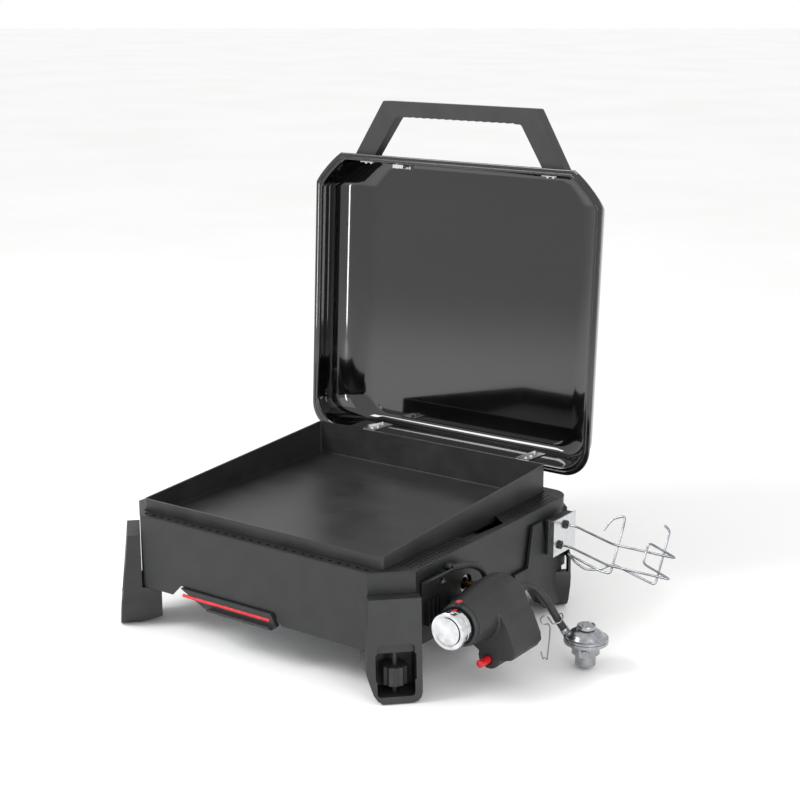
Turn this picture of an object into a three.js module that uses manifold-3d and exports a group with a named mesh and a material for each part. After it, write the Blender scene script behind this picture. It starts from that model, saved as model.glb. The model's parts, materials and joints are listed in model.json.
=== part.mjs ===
// Tabletop gas griddle with a hinged deep lid, slide-out grease tray, levelling feet,
// side gas control, hose regulator and wire cylinder rack. Millimetres, +Z up,
// +X to the right and +Y to the back of the grill.
import * as THREE from 'three';
import { mergeVertices } from 'three/addons/utils/BufferGeometryUtils.js';
import Module from 'manifold-3d';

const wasm = await Module();
wasm.setup();

// ---- driving dimensions -------------------------------------------------
const GAP = 0.3;              // clearance between touching pieces
const SHEET = 1.5;            // steel sheet of the firebox and lid
const BODY_W = 510;           // ledge width
const BODY_D = 458;           // ledge depth
const LEDGE_Z = 175;          // top of the ledge above the ground
const PANEL_H = 111;          // height of the front panel
const CORNER_CUT = 47;        // front corner chamfer
const REAR_R = 32;            // rear corner radius
const SKIRT_H = 17;           // turned-down edge of the ledge
const FLOOR_Z = 86;           // top of the firebox floor
const SIDE_LEDGE = 37.5;       // ledge left open beside the griddle plate
const FRONT_LEDGE = 20;        // and in front of it
const REAR_LEDGE = 18;         // and behind it
const GRIDDLE_WALL = 3;
const GRIDDLE_FLOOR_DROP = 9; // cooking surface below the ledge
const RIM_FRONT = 18;         // griddle rim above the ledge at the front
const RIM_REAR = 43;          // and at the back
const SLOT_PITCH = 15.5;      // ledge perforations
const SLOT_W = 5.5;
const LID_SIDE_OVER = 13.5;    // lid rim beyond the ledge at each side
const LID_FRONT_OVER = 10;     // and at the front, shut
const LID_DEPTH = 77;
const LID_CUT_X = 53;
const LID_CUT_Y = 50;
const LID_REAR_R = 44;
const LID_SIDE_R = 66;        // large radius along the two sides
const LID_END_R = 15;         // small radius along the front and back
const RIM_INSET = 10;         // lid wall set in from the rim edge
const RIM_T = 3.5;            // rim flange thickness
const HINGE_BACK = 18.3;       // hinge axis behind the ledge
const HINGE_Z = 172.6;
const LID_REAR = -19.3;       // closed rim edge from the hinge axis
const LID_LIFT = 3.9;         // closed rim plane above the hinge axis
const LID_OPEN = 92.75;       // opening angle, degrees
const HINGE_X = 150;          // hinge spacing from the middle
const HINGE_PIN_R = 3;
const HANDLE_FOOT = 396;
const HANDLE_TOP = 286;
const HANDLE_H = 96;
const HANDLE_BAR = 25;
const HANDLE_T = 20;
const HANDLE_W = 20.5;        // handle middle plane above the rim plane
const LEG_W = 71;
const LEG_DEPTH = 54;
const LEG_TOP = 144;
const LEG_WALL = 4;            // front wall of a leg
const REAR_LEG_PROUD = 4;      // leg face outside the body
const FOOT_PROUD = 34;         // front leg outside the body corner at the ground
const FOOT_TAPER = 15;         // and how much less at its top
const LEG_CLEAR = 1.5;        // leg underside above the ground
const WHEEL_R = 18.5;
const WHEEL_Z = 24;
const WHEEL_H = 26;
const STUD_R = 4;
const TRAY_X = -40;           // middle of the grease tray
const TRAY_W = 166;
const TRAY_L = 300;
const TRAY_H = 13;
const KNOB_OUT = 53;          // knob axis beyond the side of the body
const KNOB_IN = 40;           // knob face behind the front of the body
const KNOB_Z = 103;
const KNOB_R = 26;
const BARREL_R0 = 31;         // control housing, front end
const BARREL_R1 = 41;         // control housing, back end
const BARREL_L = 112;
const LOBE_BACK = 39;         // lobe and button boss behind the barrel's front end
const BUTTON_OUT = 18;        // button axis beyond the knob axis
const BUTTON_Z = 43;
const BUTTON_R = 5.6;
const BUTTON_STROKE = 6;
const KNOB_PUSH = 3;
const WIRE_R = 1.7;
const RACK_OUT = 21;          // rack plate face beyond the side of the body
const HOSE_D = 11;
const REG_X = 400;            // regulator axis
const REG_Y = 21.5;
const REG_FLANGE_R = 31.5;

const FRONT_Y = -BODY_D / 2;
const REAR_Y = BODY_D / 2;
const SIDE_X = BODY_W / 2;
const GRIDDLE_W = BODY_W - 2 * SIDE_LEDGE;
const GRIDDLE_D = BODY_D - FRONT_LEDGE - REAR_LEDGE;
const GRIDDLE_Y = (FRONT_LEDGE - REAR_LEDGE) / 2; // middle of the griddle plate
const HINGE_Y = REAR_Y + HINGE_BACK;
const LID_W = BODY_W + 2 * LID_SIDE_OVER;
const LID_L = HINGE_Y + LID_REAR - FRONT_Y + LID_FRONT_OVER;
const KNOB_X = SIDE_X + KNOB_OUT;
const KNOB_Y = FRONT_Y + KNOB_IN;
const BARREL_Y0 = KNOB_Y + 32;
const BARREL_Y1 = BARREL_Y0 + BARREL_L;
const LOBE_Y0 = BARREL_Y0 + LOBE_BACK;
const BUTTON_X = KNOB_X + BUTTON_OUT;
const RACK_X = SIDE_X + RACK_OUT;
const BOTTOM_Z = LEDGE_Z - PANEL_H;
const FRAME_BOTTOM = LEDGE_Z - SHEET;
const SHELL_TOP = FRAME_BOTTOM - GAP;
const SHELL_INSET = SHEET + GAP;
const GRIDDLE_TOP_FLOOR = LEDGE_Z - GRIDDLE_FLOOR_DROP;

// ---- helpers ------------------------------------------------------------
function solid(geometry) {
  const bare = geometry.clone();
  bare.deleteAttribute('normal');
  bare.deleteAttribute('uv');
  const merged = mergeVertices(bare, 1e-4);
  return new wasm.Manifold(new wasm.Mesh({
    numProp: 3,
    vertProperties: new Float32Array(merged.attributes.position.array),
    triVerts: new Uint32Array(merged.index.array),
  }));
}

function geometryOf(manifold) {
  const mesh = manifold.getMesh();
  const geometry = new THREE.BufferGeometry();
  geometry.setAttribute('position', new THREE.BufferAttribute(new Float32Array(mesh.vertProperties), 3));
  geometry.setIndex(new THREE.BufferAttribute(new Uint32Array(mesh.triVerts), 1));
  return geometry;
}

const join = (first, ...rest) => rest.reduce((sum, piece) => sum.add(piece), first);
const cut = (first, ...rest) => rest.reduce((left, piece) => left.subtract(piece), first);

function shapeOf(points) {
  return new THREE.Shape(points.map(([x, y]) => new THREE.Vector2(x, y)));
}

// Prism of a plan outline, from z0 to z1.
function prism(shape, z0, z1, segments = 6) {
  const geometry = new THREE.ExtrudeGeometry(shape, { depth: z1 - z0, bevelEnabled: false, curveSegments: segments });
  geometry.translate(0, 0, z0);
  return solid(geometry);
}

// Prism of an outline drawn in X and Z, running along Y from y0 to y1.
function prismAlongY(shape, y0, y1, segments = 6) {
  const geometry = new THREE.ExtrudeGeometry(shape, { depth: y1 - y0, bevelEnabled: false, curveSegments: segments });
  geometry.rotateX(Math.PI / 2);
  geometry.translate(0, y1, 0);
  return solid(geometry);
}

// Prism of an outline drawn in Y and Z, running along X from x0 to x1.
function barAlongX(shape, x0, x1, segments = 6) {
  const geometry = new THREE.ExtrudeGeometry(shape, { depth: x1 - x0, bevelEnabled: false, curveSegments: segments });
  geometry.applyMatrix4(new THREE.Matrix4().makeBasis(
    new THREE.Vector3(0, 1, 0), new THREE.Vector3(0, 0, 1), new THREE.Vector3(1, 0, 0)));
  geometry.translate(x0, 0, 0);
  return geometry;
}

const prismAlongX = (shape, x0, x1, segments) => solid(barAlongX(shape, x0, x1, segments));

function block(x0, x1, y0, y1, z0, z1) {
  const geometry = new THREE.BoxGeometry(x1 - x0, y1 - y0, z1 - z0);
  geometry.translate((x0 + x1) / 2, (y0 + y1) / 2, (z0 + z1) / 2);
  return solid(geometry);
}

// Rod or cone between two points.
function rod(from, to, radius, sides = 12, radiusEnd = radius) {
  const a = new THREE.Vector3(...from);
  const b = new THREE.Vector3(...to);
  const axis = new THREE.Vector3().subVectors(b, a);
  const geometry = new THREE.CylinderGeometry(radiusEnd, radius, axis.length(), sides);
  geometry.applyQuaternion(new THREE.Quaternion().setFromUnitVectors(new THREE.Vector3(0, 1, 0), axis.normalize()));
  geometry.translate((a.x + b.x) / 2, (a.y + b.y) / 2, (a.z + b.z) / 2);
  return solid(geometry);
}

// Revolved body about a vertical axis; profile is [radius, z] from the axis and back to it.
function turned(profile, x, y, sides = 24) {
  const geometry = new THREE.LatheGeometry(profile.map(([r, z]) => new THREE.Vector2(r, z)), sides);
  geometry.rotateX(Math.PI / 2);
  geometry.translate(x, y, 0);
  return solid(geometry);
}

// Revolved body about an axis along Y; profile is [radius, y].
function turnedAlongY(profile, x, z, sides = 24) {
  const geometry = new THREE.LatheGeometry(profile.map(([r, y]) => new THREE.Vector2(r, y)), sides);
  geometry.translate(x, 0, z);
  return solid(geometry);
}

// Path with one section at each station, so that straight runs stay plain.
class StationCurve extends THREE.Curve {
  constructor(stations) {
    super();
    this.stations = stations;
    this.last = stations.length - 1;
  }

  getPoint(t) {
    const i = Math.min(Math.floor(t * this.last + 1e-9), this.last - 1);
    return new THREE.Vector3().lerpVectors(this.stations[i], this.stations[i + 1], t * this.last - i);
  }

  getPointAt(u) {
    return this.getPoint(u);
  }

  getTangentAt(u) {
    const i = Math.round(u * this.last);
    const along = (a, b) => new THREE.Vector3().subVectors(this.stations[b], this.stations[a]).normalize();
    const before = along(Math.max(i - 1, 0), Math.max(i, 1));
    const after = along(Math.min(i, this.last - 1), Math.min(i + 1, this.last));
    return before.add(after).normalize();
  }
}

// Round bar that follows straight runs joined by small bends.
function wire(points, radius, bend, sides = 8) {
  const knots = points.map((p) => new THREE.Vector3(...p));
  const stations = [knots[0]];
  for (let i = 1; i < knots.length - 1; i += 1) {
    const before = new THREE.Vector3().subVectors(knots[i - 1], knots[i]);
    const after = new THREE.Vector3().subVectors(knots[i + 1], knots[i]);
    const reach = Math.min(bend, before.length() * 0.45, after.length() * 0.45);
    const enter = knots[i].clone().addScaledVector(before.normalize(), reach);
    const leave = knots[i].clone().addScaledVector(after.normalize(), reach);
    stations.push(...new THREE.QuadraticBezierCurve3(enter, knots[i], leave).getPoints(3));
  }
  stations.push(knots[knots.length - 1]);
  return tube(new StationCurve(stations), radius, sides, stations.length - 1);
}

function tube(path, radius, sides, steps) {
  const section = new THREE.Shape();
  for (let i = 0; i < sides; i += 1) {
    const angle = (i / sides) * Math.PI * 2;
    const x = radius * Math.cos(angle);
    const y = radius * Math.sin(angle);
    if (i === 0) section.moveTo(x, y);
    else section.lineTo(x, y);
  }
  section.closePath();
  return solid(new THREE.ExtrudeGeometry(section, { steps, extrudePath: path, bevelEnabled: false }));
}

function smoothPath(points) {
  return new THREE.CatmullRomCurve3(points.map((p) => new THREE.Vector3(...p)), false, 'centripetal');
}

function roundedBox(x0, x1, y0, y1, r) {
  const shape = new THREE.Shape();
  shape.moveTo(x0 + r, y0);
  shape.lineTo(x1 - r, y0);
  shape.absarc(x1 - r, y0 + r, r, -Math.PI / 2, 0);
  shape.lineTo(x1, y1 - r);
  shape.absarc(x1 - r, y1 - r, r, 0, Math.PI / 2);
  shape.lineTo(x0 + r, y1);
  shape.absarc(x0 + r, y1 - r, r, Math.PI / 2, Math.PI);
  shape.lineTo(x0, y0 + r);
  shape.absarc(x0 + r, y0 + r, r, Math.PI, Math.PI * 1.5);
  return shape;
}

// Plan outline of the firebox: chamfered front corners, rounded back corners.
function bodyOutline(sideInset, frontInset, rearInset) {
  const x = SIDE_X - sideInset;
  const y0 = FRONT_Y + frontInset;
  const y1 = REAR_Y - rearInset;
  const r = REAR_R - Math.max(sideInset, rearInset);
  const turn = Math.SQRT2 - 1;
  const c = CORNER_CUT - (sideInset + frontInset) + Math.max(sideInset, frontInset) * turn;
  const shape = new THREE.Shape();
  shape.moveTo(-x + c, y0);
  shape.lineTo(x - c, y0);
  shape.lineTo(x, y0 + c);
  shape.lineTo(x, y1 - r);
  shape.absarc(x - r, y1 - r, r, 0, Math.PI / 2);
  shape.lineTo(-x + r, y1);
  shape.absarc(-x + r, y1 - r, r, Math.PI / 2, Math.PI);
  shape.lineTo(-x, y0 + c);
  return shape;
}

const grill = new THREE.Group();

function paint(hex, roughness, metalness) {
  return new THREE.MeshStandardMaterial({ color: hex, roughness, metalness });
}

function add(group, name, manifold, material) {
  const mesh = new THREE.Mesh(geometryOf(manifold), material.clone());
  mesh.name = name;
  group.add(mesh);
}

const blackPaint = paint(0x17181a, 0.5, 0.2);
const enamel = paint(0x0b0b0c, 0.12, 0.1);
const blackPlastic = paint(0x1d1e20, 0.65, 0);
const seasonedSteel = paint(0x232527, 0.45, 0.6);
const steel = paint(0xb9bcc0, 0.25, 1);
const brass = paint(0xb08d45, 0.3, 1);
const rubber = paint(0x101010, 0.8, 0);
const red = paint(0xc8202a, 0.4, 0);
const diecast = paint(0xa9adb2, 0.35, 1);

// ---- ledge frame ----------------------------------------------------------
const OPENING_X = GRIDDLE_W / 2 + GAP + 0.7;
const OPENING_Y0 = GRIDDLE_Y - GRIDDLE_D / 2 - GAP - 0.7;
const OPENING_Y1 = GRIDDLE_Y + GRIDDLE_D / 2 + GAP + 0.7;
const VENT_Y0 = GRIDDLE_Y - 46;
const VENT_Y1 = GRIDDLE_Y + 68;
const SKIRT_Y0 = FRONT_Y + CORNER_CUT;

function frameSlots() {
  const slots = [];
  const frontY = (FRONT_Y + OPENING_Y0) / 2;
  const frontHalf = SIDE_X - CORNER_CUT - SLOT_PITCH;
  const frontCount = Math.floor((2 * frontHalf) / SLOT_PITCH);
  for (let i = 0; i <= frontCount; i += 1) {
    const x = (i - frontCount / 2) * SLOT_PITCH;
    slots.push(block(x - SLOT_W / 2, x + SLOT_W / 2, frontY - 3, frontY + 3, FRAME_BOTTOM - 1, LEDGE_Z + 1));
  }
  const middle = (SIDE_X + OPENING_X) / 2;
  for (const side of [-1, 1]) {
    for (let y = SKIRT_Y0 + 6; y < REAR_Y - REAR_R - 6; y += SLOT_PITCH * 1.2) {
      const nearVent = side > 0 && y > VENT_Y0 - 14 && y < VENT_Y1 + 8;
      if (!nearVent) {
        const x = side * middle;
        slots.push(block(x - 11, x + 11, y - 2.5, y + 2.5, FRAME_BOTTOM - 1, LEDGE_Z + 1));
      }
    }
  }
  return slots;
}

function topFrame() {
  const plate = prism(bodyOutline(0, 0, 0), FRAME_BOTTOM, LEDGE_Z);
  const opening = block(-OPENING_X, OPENING_X, OPENING_Y0, OPENING_Y1, FRAME_BOTTOM - 1, LEDGE_Z + 1);
  const skirtOuter = prism(bodyOutline(0, 0, 0), LEDGE_Z - SKIRT_H, LEDGE_Z);
  const skirtInner = prism(bodyOutline(SHEET, SHEET, SHEET), LEDGE_Z - SKIRT_H - 1, LEDGE_Z + 1);
  const frontPart = block(-SIDE_X - 1, SIDE_X + 1, FRONT_Y - 1, SKIRT_Y0, 0, LEDGE_Z + 1);
  const skirt = cut(skirtOuter, skirtInner, frontPart);
  const vent = prism(shapeOf([
    [OPENING_X - 2, VENT_Y0], [OPENING_X + 2, VENT_Y0], [SIDE_X - 15, VENT_Y0 + 16],
    [SIDE_X - 8, VENT_Y1 - 20], [OPENING_X - 2, VENT_Y1],
  ]), FRAME_BOTTOM - 1, LEDGE_Z + 1);
  const seats = [];
  for (const sx of [-1, 1]) {
    for (const y of [GRIDDLE_Y - GRIDDLE_D / 3, GRIDDLE_Y + GRIDDLE_D / 3]) {
      const z = GRIDDLE_TOP_FLOOR - GRIDDLE_WALL - GAP;
      const x0 = sx * (OPENING_X + 2.5);
      const x1 = sx * (OPENING_X + 0.5);
      seats.push(block(Math.min(x0, x1), Math.max(x0, x1), y - 15, y + 15, z - SHEET, FRAME_BOTTOM + 1));
      const x2 = sx * (OPENING_X - 16);
      seats.push(block(Math.min(x0, x2), Math.max(x0, x2), y - 15, y + 15, z - SHEET, z));
    }
  }
  return join(cut(join(plate, skirt), opening, vent, ...frameSlots()), ...seats);
}
add(grill, 'top_frame', topFrame(), blackPaint);

// ---- firebox shell ----------------------------------------------------------
const TRAY_CUT_H = 17;
const INLET_Y = BARREL_Y1 - 15;
const INLET_Z = 118;

function fireboxShell() {
  const walls = cut(
    prism(bodyOutline(SHELL_INSET, 0, SHELL_INSET), BOTTOM_Z, SHELL_TOP),
    prism(bodyOutline(SHELL_INSET + SHEET, SHEET, SHELL_INSET + SHEET), BOTTOM_Z - 1, SHELL_TOP + 1));
  const floor = prism(bodyOutline(SHELL_INSET + 1, 1, SHELL_INSET + 1), FLOOR_Z - SHEET, FLOOR_Z);
  const trayMouth = prismAlongY(shapeOf([
    [TRAY_X - TRAY_W / 2 - 25, BOTTOM_Z - 1], [TRAY_X + TRAY_W / 2 + 16, BOTTOM_Z - 1],
    [TRAY_X + TRAY_W / 2 + 1, BOTTOM_Z + TRAY_CUT_H], [TRAY_X - TRAY_W / 2 - 7, BOTTOM_Z + TRAY_CUT_H],
  ]), FRONT_Y - 1, FRONT_Y + SHEET + 1);
  const inlet = rod([SIDE_X - 20, INLET_Y, INLET_Z], [SIDE_X + 5, INLET_Y, INLET_Z], 14, 20);
  const drain = block(TRAY_X - 66, TRAY_X - 26, FRONT_Y + 12, FRONT_Y + 34, FLOOR_Z - 5, FLOOR_Z + 1);
  const cuts = [trayMouth, inlet, drain];
  for (let i = -2; i <= 2; i += 1) {
    cuts.push(block(i * 72 - 24, i * 72 + 24, REAR_Y - 10, REAR_Y + 1, FLOOR_Z + 20, FLOOR_Z + 30));
  }
  for (const x of [-130, 0, 130]) {
    cuts.push(rod([x, 100, FLOOR_Z - 5], [x, 100, FLOOR_Z + 1], 22, 14));
  }
  return cut(join(walls, floor), ...cuts);
}
add(grill, 'firebox_shell', fireboxShell(), blackPaint);

// ---- griddle plate ------------------------------------------------------------
function griddlePlate() {
  const x = GRIDDLE_W / 2;
  const y0 = GRIDDLE_Y - GRIDDLE_D / 2;
  const y1 = GRIDDLE_Y + GRIDDLE_D / 2;
  const under = GRIDDLE_TOP_FLOOR - GRIDDLE_WALL;
  const side = shapeOf([[y0, under], [y1, under], [y1, LEDGE_Z + RIM_REAR], [y0, LEDGE_Z + RIM_FRONT]]);
  const body = prismAlongX(side, -x, x);
  const well = block(-x + GRIDDLE_WALL, x - GRIDDLE_WALL, y0 + GRIDDLE_WALL, y1 - GRIDDLE_WALL,
    GRIDDLE_TOP_FLOOR, LEDGE_Z + RIM_REAR + 5);
  const slotX = -96;
  const greaseSlot = prism(roundedBox(slotX - 24, slotX + 24, y0 + 7, y0 + 21, 6), under - 1, GRIDDLE_TOP_FLOOR + 1);
  const holeY = y1 - 24;
  const holes = rod([-x - 5, holeY, LEDGE_Z + 21.5], [x + 5, holeY, LEDGE_Z + 21.5], 3.5, 12);
  return cut(body, well, greaseSlot, holes);
}
add(grill, 'griddle_plate', griddlePlate(), seasonedSteel);

// ---- burner, shield and igniter electrode ----------------------------------------
const BURNER_Z = 122;
const BURNER_R = 11;

function burnerTube() {
  const loop = roundedBox(-150, 150, -120, 130, 60);
  const inner = roundedBox(-150 + 2 * BURNER_R, 150 - 2 * BURNER_R, -120 + 2 * BURNER_R, 130 - 2 * BURNER_R, 38);
  const ring = cut(prism(loop, BURNER_Z - BURNER_R, BURNER_Z + BURNER_R), prism(inner, 0, 200));
  const middle = block(-145, 145, -2, 12, BURNER_Z - BURNER_R + 1, BURNER_Z + BURNER_R - 1);
  const venturi = rod([140, INLET_Y, INLET_Z], [SIDE_X - 4 - SHELL_INSET, INLET_Y, INLET_Z], 9, 16, 12.5);
  const bore = rod([170, INLET_Y, INLET_Z], [SIDE_X + 5, INLET_Y, INLET_Z], 6, 16, 9.5);
  const airHole = rod([SIDE_X - 30, INLET_Y, INLET_Z], [SIDE_X - 30, INLET_Y, INLET_Z + 30], 6, 10);
  return cut(join(ring, middle, venturi), bore, airHole);
}
add(grill, 'burner_tube', burnerTube(), steel);

function burnerBracket() {
  const top = BURNER_Z - BURNER_R - GAP;
  const sheet = shapeOf([[-190, FLOOR_Z + GAP], [190, FLOOR_Z + GAP], [190, FLOOR_Z + 2], [168, FLOOR_Z + 2],
    [160, top], [-160, top], [-168, FLOOR_Z + 2], [-190, FLOOR_Z + 2]]);
  const relief = shapeOf([[-165, FLOOR_Z - 1], [165, FLOOR_Z - 1], [157, top - 2], [-157, top - 2]]);
  const straps = [-80, 90].map((y) => cut(prismAlongY(sheet, y - 9, y + 9), prismAlongY(relief, y - 10, y + 10)));
  return join(...straps, block(-40, -22, -85, 95, top - 2, top));
}
add(grill, 'burner_bracket', burnerBracket(), steel);

function electrode() {
  const y = -40;
  const ceramic = rod([196, y, BURNER_Z + 4], [168, y, BURNER_Z + 4], 4.5, 12);
  const tip = rod([170, y, BURNER_Z + 4], [158, y, BURNER_Z + 4], 1.3, 8);
  const tab = block(184, 187, y - 6, y + 6, BURNER_Z - 8, BURNER_Z + 12);
  const foot = block(184, 200, y - 6, y + 6, FLOOR_Z + GAP, FLOOR_Z + 2);
  const stem = block(184, 187, y - 6, y + 6, FLOOR_Z + 1, BURNER_Z - 7);
  return join(ceramic, tip, tab, stem, foot);
}
add(grill, 'electrode', electrode(), paint(0xe8e4d8, 0.4, 0));

// ---- legs and levelling feet -------------------------------------------------------
const CHAMFER_OUT = SIDE_X - CORNER_CUT / 2;
const REAR_OUT = REAR_R * (Math.SQRT2 - 1) / Math.SQRT2;
const WING_T = 4.5;           // rear leg wing on the side panel
const LEG_PLACES = [
  { name: 'front_right', x: CHAMFER_OUT, y: FRONT_Y + CORNER_CUT / 2, turn: Math.PI / 4, rear: false, side: 1 },
  { name: 'front_left', x: -CHAMFER_OUT, y: FRONT_Y + CORNER_CUT / 2, turn: -Math.PI / 4, rear: false, side: -1 },
  { name: 'rear_right', x: SIDE_X - REAR_OUT, y: REAR_Y - REAR_OUT, turn: Math.PI * 0.75, rear: true, side: 1 },
  { name: 'rear_left', x: -SIDE_X + REAR_OUT, y: REAR_Y - REAR_OUT, turn: -Math.PI * 0.75, rear: true, side: -1 },
];

// Face outline of a leg; the flared edge is the one with negative x, before the side is applied.
function legFace(rear, side) {
  const half = LEG_W / 2;
  const face = new THREE.Shape();
  face.moveTo(side * (-half + 17), LEG_CLEAR);
  face.lineTo(side * (half - 13), LEG_CLEAR);
  face.quadraticCurveTo(side * (half - 1), LEG_CLEAR + 1, side * half, LEG_CLEAR + 14);
  if (rear) {
    face.lineTo(side * half, LEG_TOP - 56);
    face.lineTo(side * 9, LEG_TOP - 36);
    face.lineTo(side * 9, LEG_TOP + 12);
    face.lineTo(side * -9, LEG_TOP + 12);
    face.lineTo(side * -9, LEG_TOP - 36);
    face.lineTo(side * (-half - 2), LEG_TOP - 56);
  } else {
    face.lineTo(side * half, LEG_TOP);
    face.lineTo(side * -half, LEG_TOP);
  }
  face.lineTo(side * (-half - 3), BOTTOM_Z + 1);
  face.quadraticCurveTo(side * (-half - 9), BOTTOM_Z - 14, side * (-half + 1), LEG_CLEAR + 24);
  face.quadraticCurveTo(side * (-half + 6), LEG_CLEAR + 4, side * (-half + 17), LEG_CLEAR);
  return face;
}

// Side wing of a rear leg, as a bar along X in the frame of the whole grill.
function wingBar(side) {
  const outline = [[121, 156], [95, 156], [79, 100], [20, 96], [20, 16], [59, 8], [79, 14], [119, 58], [165, 82],
    [170, 94], [133, 94]];
  const shape = shapeOf(outline.map(([back, z]) => [REAR_Y - back, z]));
  const x0 = SIDE_X + GAP;
  return side > 0 ? barAlongX(shape, x0, x0 + WING_T) : barAlongX(shape, -x0 - WING_T, -x0);
}

// Local leg frame: x runs across the face, y runs inwards from the face, z up.
function legSolid({ rear, side }, group) {
  const half = LEG_W / 2;
  const face = legFace(rear, side);
  const proud = rear ? REAR_LEG_PROUD : FOOT_PROUD;
  const depth = LEG_DEPTH + (rear ? 0 : 8);
  const pieces = [prismAlongY(face, 0, proud - GAP, 3),
    cut(prismAlongY(face, 0, depth, 3), block(-99, 99, -1, 99, BOTTOM_Z - GAP - 0.7, 300))];
  if (rear) pieces.push(solid(wingBar(side).applyMatrix4(group.matrix.clone().invert())));
  const rise = prismAlongX(shapeOf([[30, -5], [depth + 5, -5], [depth + 5, 16], [depth, 14], [30, LEG_CLEAR]]),
    -60, 60);
  const opening = (rear ? 0 : FOOT_TAPER * 82 / LEG_TOP) + LEG_WALL + 1;
  const window = prismAlongY(roundedBox(-half + 10, half - 10, 11, 82, 5), -1, opening, 2);
  const pocket = block(-half + 8, half - 8, LEG_WALL - 0.5, LEG_DEPTH - 12, 11, BOTTOM_Z + 5);
  const bore = rod([0, 22, -1], [0, 22, 14], STUD_R + 1, 12);
  const padRecess = rod([0, 22, -1], [0, 22, 7], 14, 16);
  const cuts = [rise, window, pocket, bore, padRecess];
  if (!rear) {
    const slope = FOOT_TAPER / LEG_TOP;
    cuts.push(prismAlongX(shapeOf([[-9, -1], [0, 0], [slope * 160, 160], [-9, 160]]), -60, 60));
    cuts.push(prismAlongX(shapeOf([[LEG_WALL + 1 + slope * 90, 90], [proud + 1, 90], [proud + 1, LEG_TOP - 6],
      [LEG_WALL + slope * (LEG_TOP - 6), LEG_TOP - 6]]), -half + 5, half - 5));
  }
  return cut(join(...pieces), ...cuts);
}

// Thumb-wheel with its threaded stud, about the local vertical through the leg pocket.
function footWheel() {
  const points = [];
  const flutes = 12;
  for (let i = 0; i < flutes * 2; i += 1) {
    const angle = (i / (flutes * 2)) * Math.PI * 2;
    const r = i % 2 ? WHEEL_R - 2 : WHEEL_R;
    points.push([r * Math.cos(angle), r * Math.sin(angle)]);
  }
  const wheel = prism(shapeOf(points), WHEEL_Z, WHEEL_Z + WHEEL_H);
  const collar = rod([0, 0, WHEEL_Z - 4], [0, 0, WHEEL_Z + 1], 11, 12);
  const stud = rod([0, 0, 2], [0, 0, WHEEL_Z + WHEEL_H + 18], STUD_R, 10);
  return join(wheel, collar, stud);
}

function footPad() {
  const socket = rod([0, 0, 1.6], [0, 0, 9], STUD_R + GAP, 12);
  return cut(turned([[0, 0], [13, 0], [13, 3.6], [7, 5.6], [0, 5.6]], 0, 0, 16), socket);
}

function placeLeg(place) {
  const group = new THREE.Group();
  const proud = place.rear ? REAR_LEG_PROUD : FOOT_PROUD;
  group.position.set(place.x + Math.sin(place.turn) * proud, place.y - Math.cos(place.turn) * proud, 0);
  group.rotation.z = place.turn;
  group.updateMatrix();
  grill.add(group);
  add(group, `leg_${place.name}`, legSolid(place, group), blackPlastic);
  const foot = new THREE.Group();
  foot.position.set(0, 22, 0);
  group.add(foot);
  add(foot, `foot_wheel_${place.name}`, footWheel(), blackPlastic);
  add(foot, `foot_pad_${place.name}`, footPad(), rubber);
}
LEG_PLACES.forEach(placeLeg);

// ---- grease tray -----------------------------------------------------------------
const TRAY_Y0 = FRONT_Y + SHEET + 2;
const TRAY_TOP = FLOOR_Z - SHEET - 2;
const TRAY_BOTTOM = TRAY_TOP - TRAY_H;

function greaseTray() {
  const x0 = TRAY_X - TRAY_W / 2 + 6;
  const x1 = TRAY_X + TRAY_W / 2 - 6;
  const pan = prism(roundedBox(x0, x1, TRAY_Y0, TRAY_Y0 + TRAY_L, 8), TRAY_BOTTOM, TRAY_TOP - 2, 3);
  const well = prism(roundedBox(x0 + 1.5, x1 - 1.5, TRAY_Y0 + 1.5, TRAY_Y0 + TRAY_L - 1.5, 7), TRAY_BOTTOM + 1.5, TRAY_TOP, 3);
  const flange = prism(roundedBox(x0 - 5, x1 + 5, TRAY_Y0, TRAY_Y0 + TRAY_L, 8), TRAY_TOP - 3.5, TRAY_TOP - 2, 3);
  return cut(join(pan, flange), well);
}

function trayPull() {
  const x0 = TRAY_X - TRAY_W / 2;
  const x1 = TRAY_X + TRAY_W / 2;
  const top = BOTTOM_Z + TRAY_CUT_H - 1;
  const face = shapeOf([[x0 - 4, top], [x0 + 40, top - 20], [x0 + 52, top - 24], [x1 + 1, top - 24],
    [x1 + 9, top - 17], [x1 - 0.5, top]]);
  const slab = prismAlongY(face, FRONT_Y - 5, TRAY_Y0 - GAP);
  const lip = prismAlongX(shapeOf([[FRONT_Y - 13, top - 20], [FRONT_Y - 4, top - 24], [FRONT_Y - 4, top - 19],
    [FRONT_Y - 12, top - 17]]), x0 + 52, x1 + 2);
  const groove = block(x0, x1 - 2, FRONT_Y - 6, FRONT_Y - 3, top - 12.5, top - 7.5);
  return cut(join(slab, lip), groove);
}

function trayAccent() {
  const x0 = TRAY_X - TRAY_W / 2;
  const x1 = TRAY_X + TRAY_W / 2;
  const top = BOTTOM_Z + TRAY_CUT_H - 1;
  return block(x0 + GAP, x1 - 2 - GAP, FRONT_Y - 5.6, FRONT_Y - 3 - GAP, top - 12.5 + GAP, top - 7.5 - GAP);
}
add(grill, 'grease_tray', greaseTray(), diecast);
add(grill, 'tray_pull', trayPull(), blackPlastic);
add(grill, 'tray_accent', trayAccent(), red);

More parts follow.
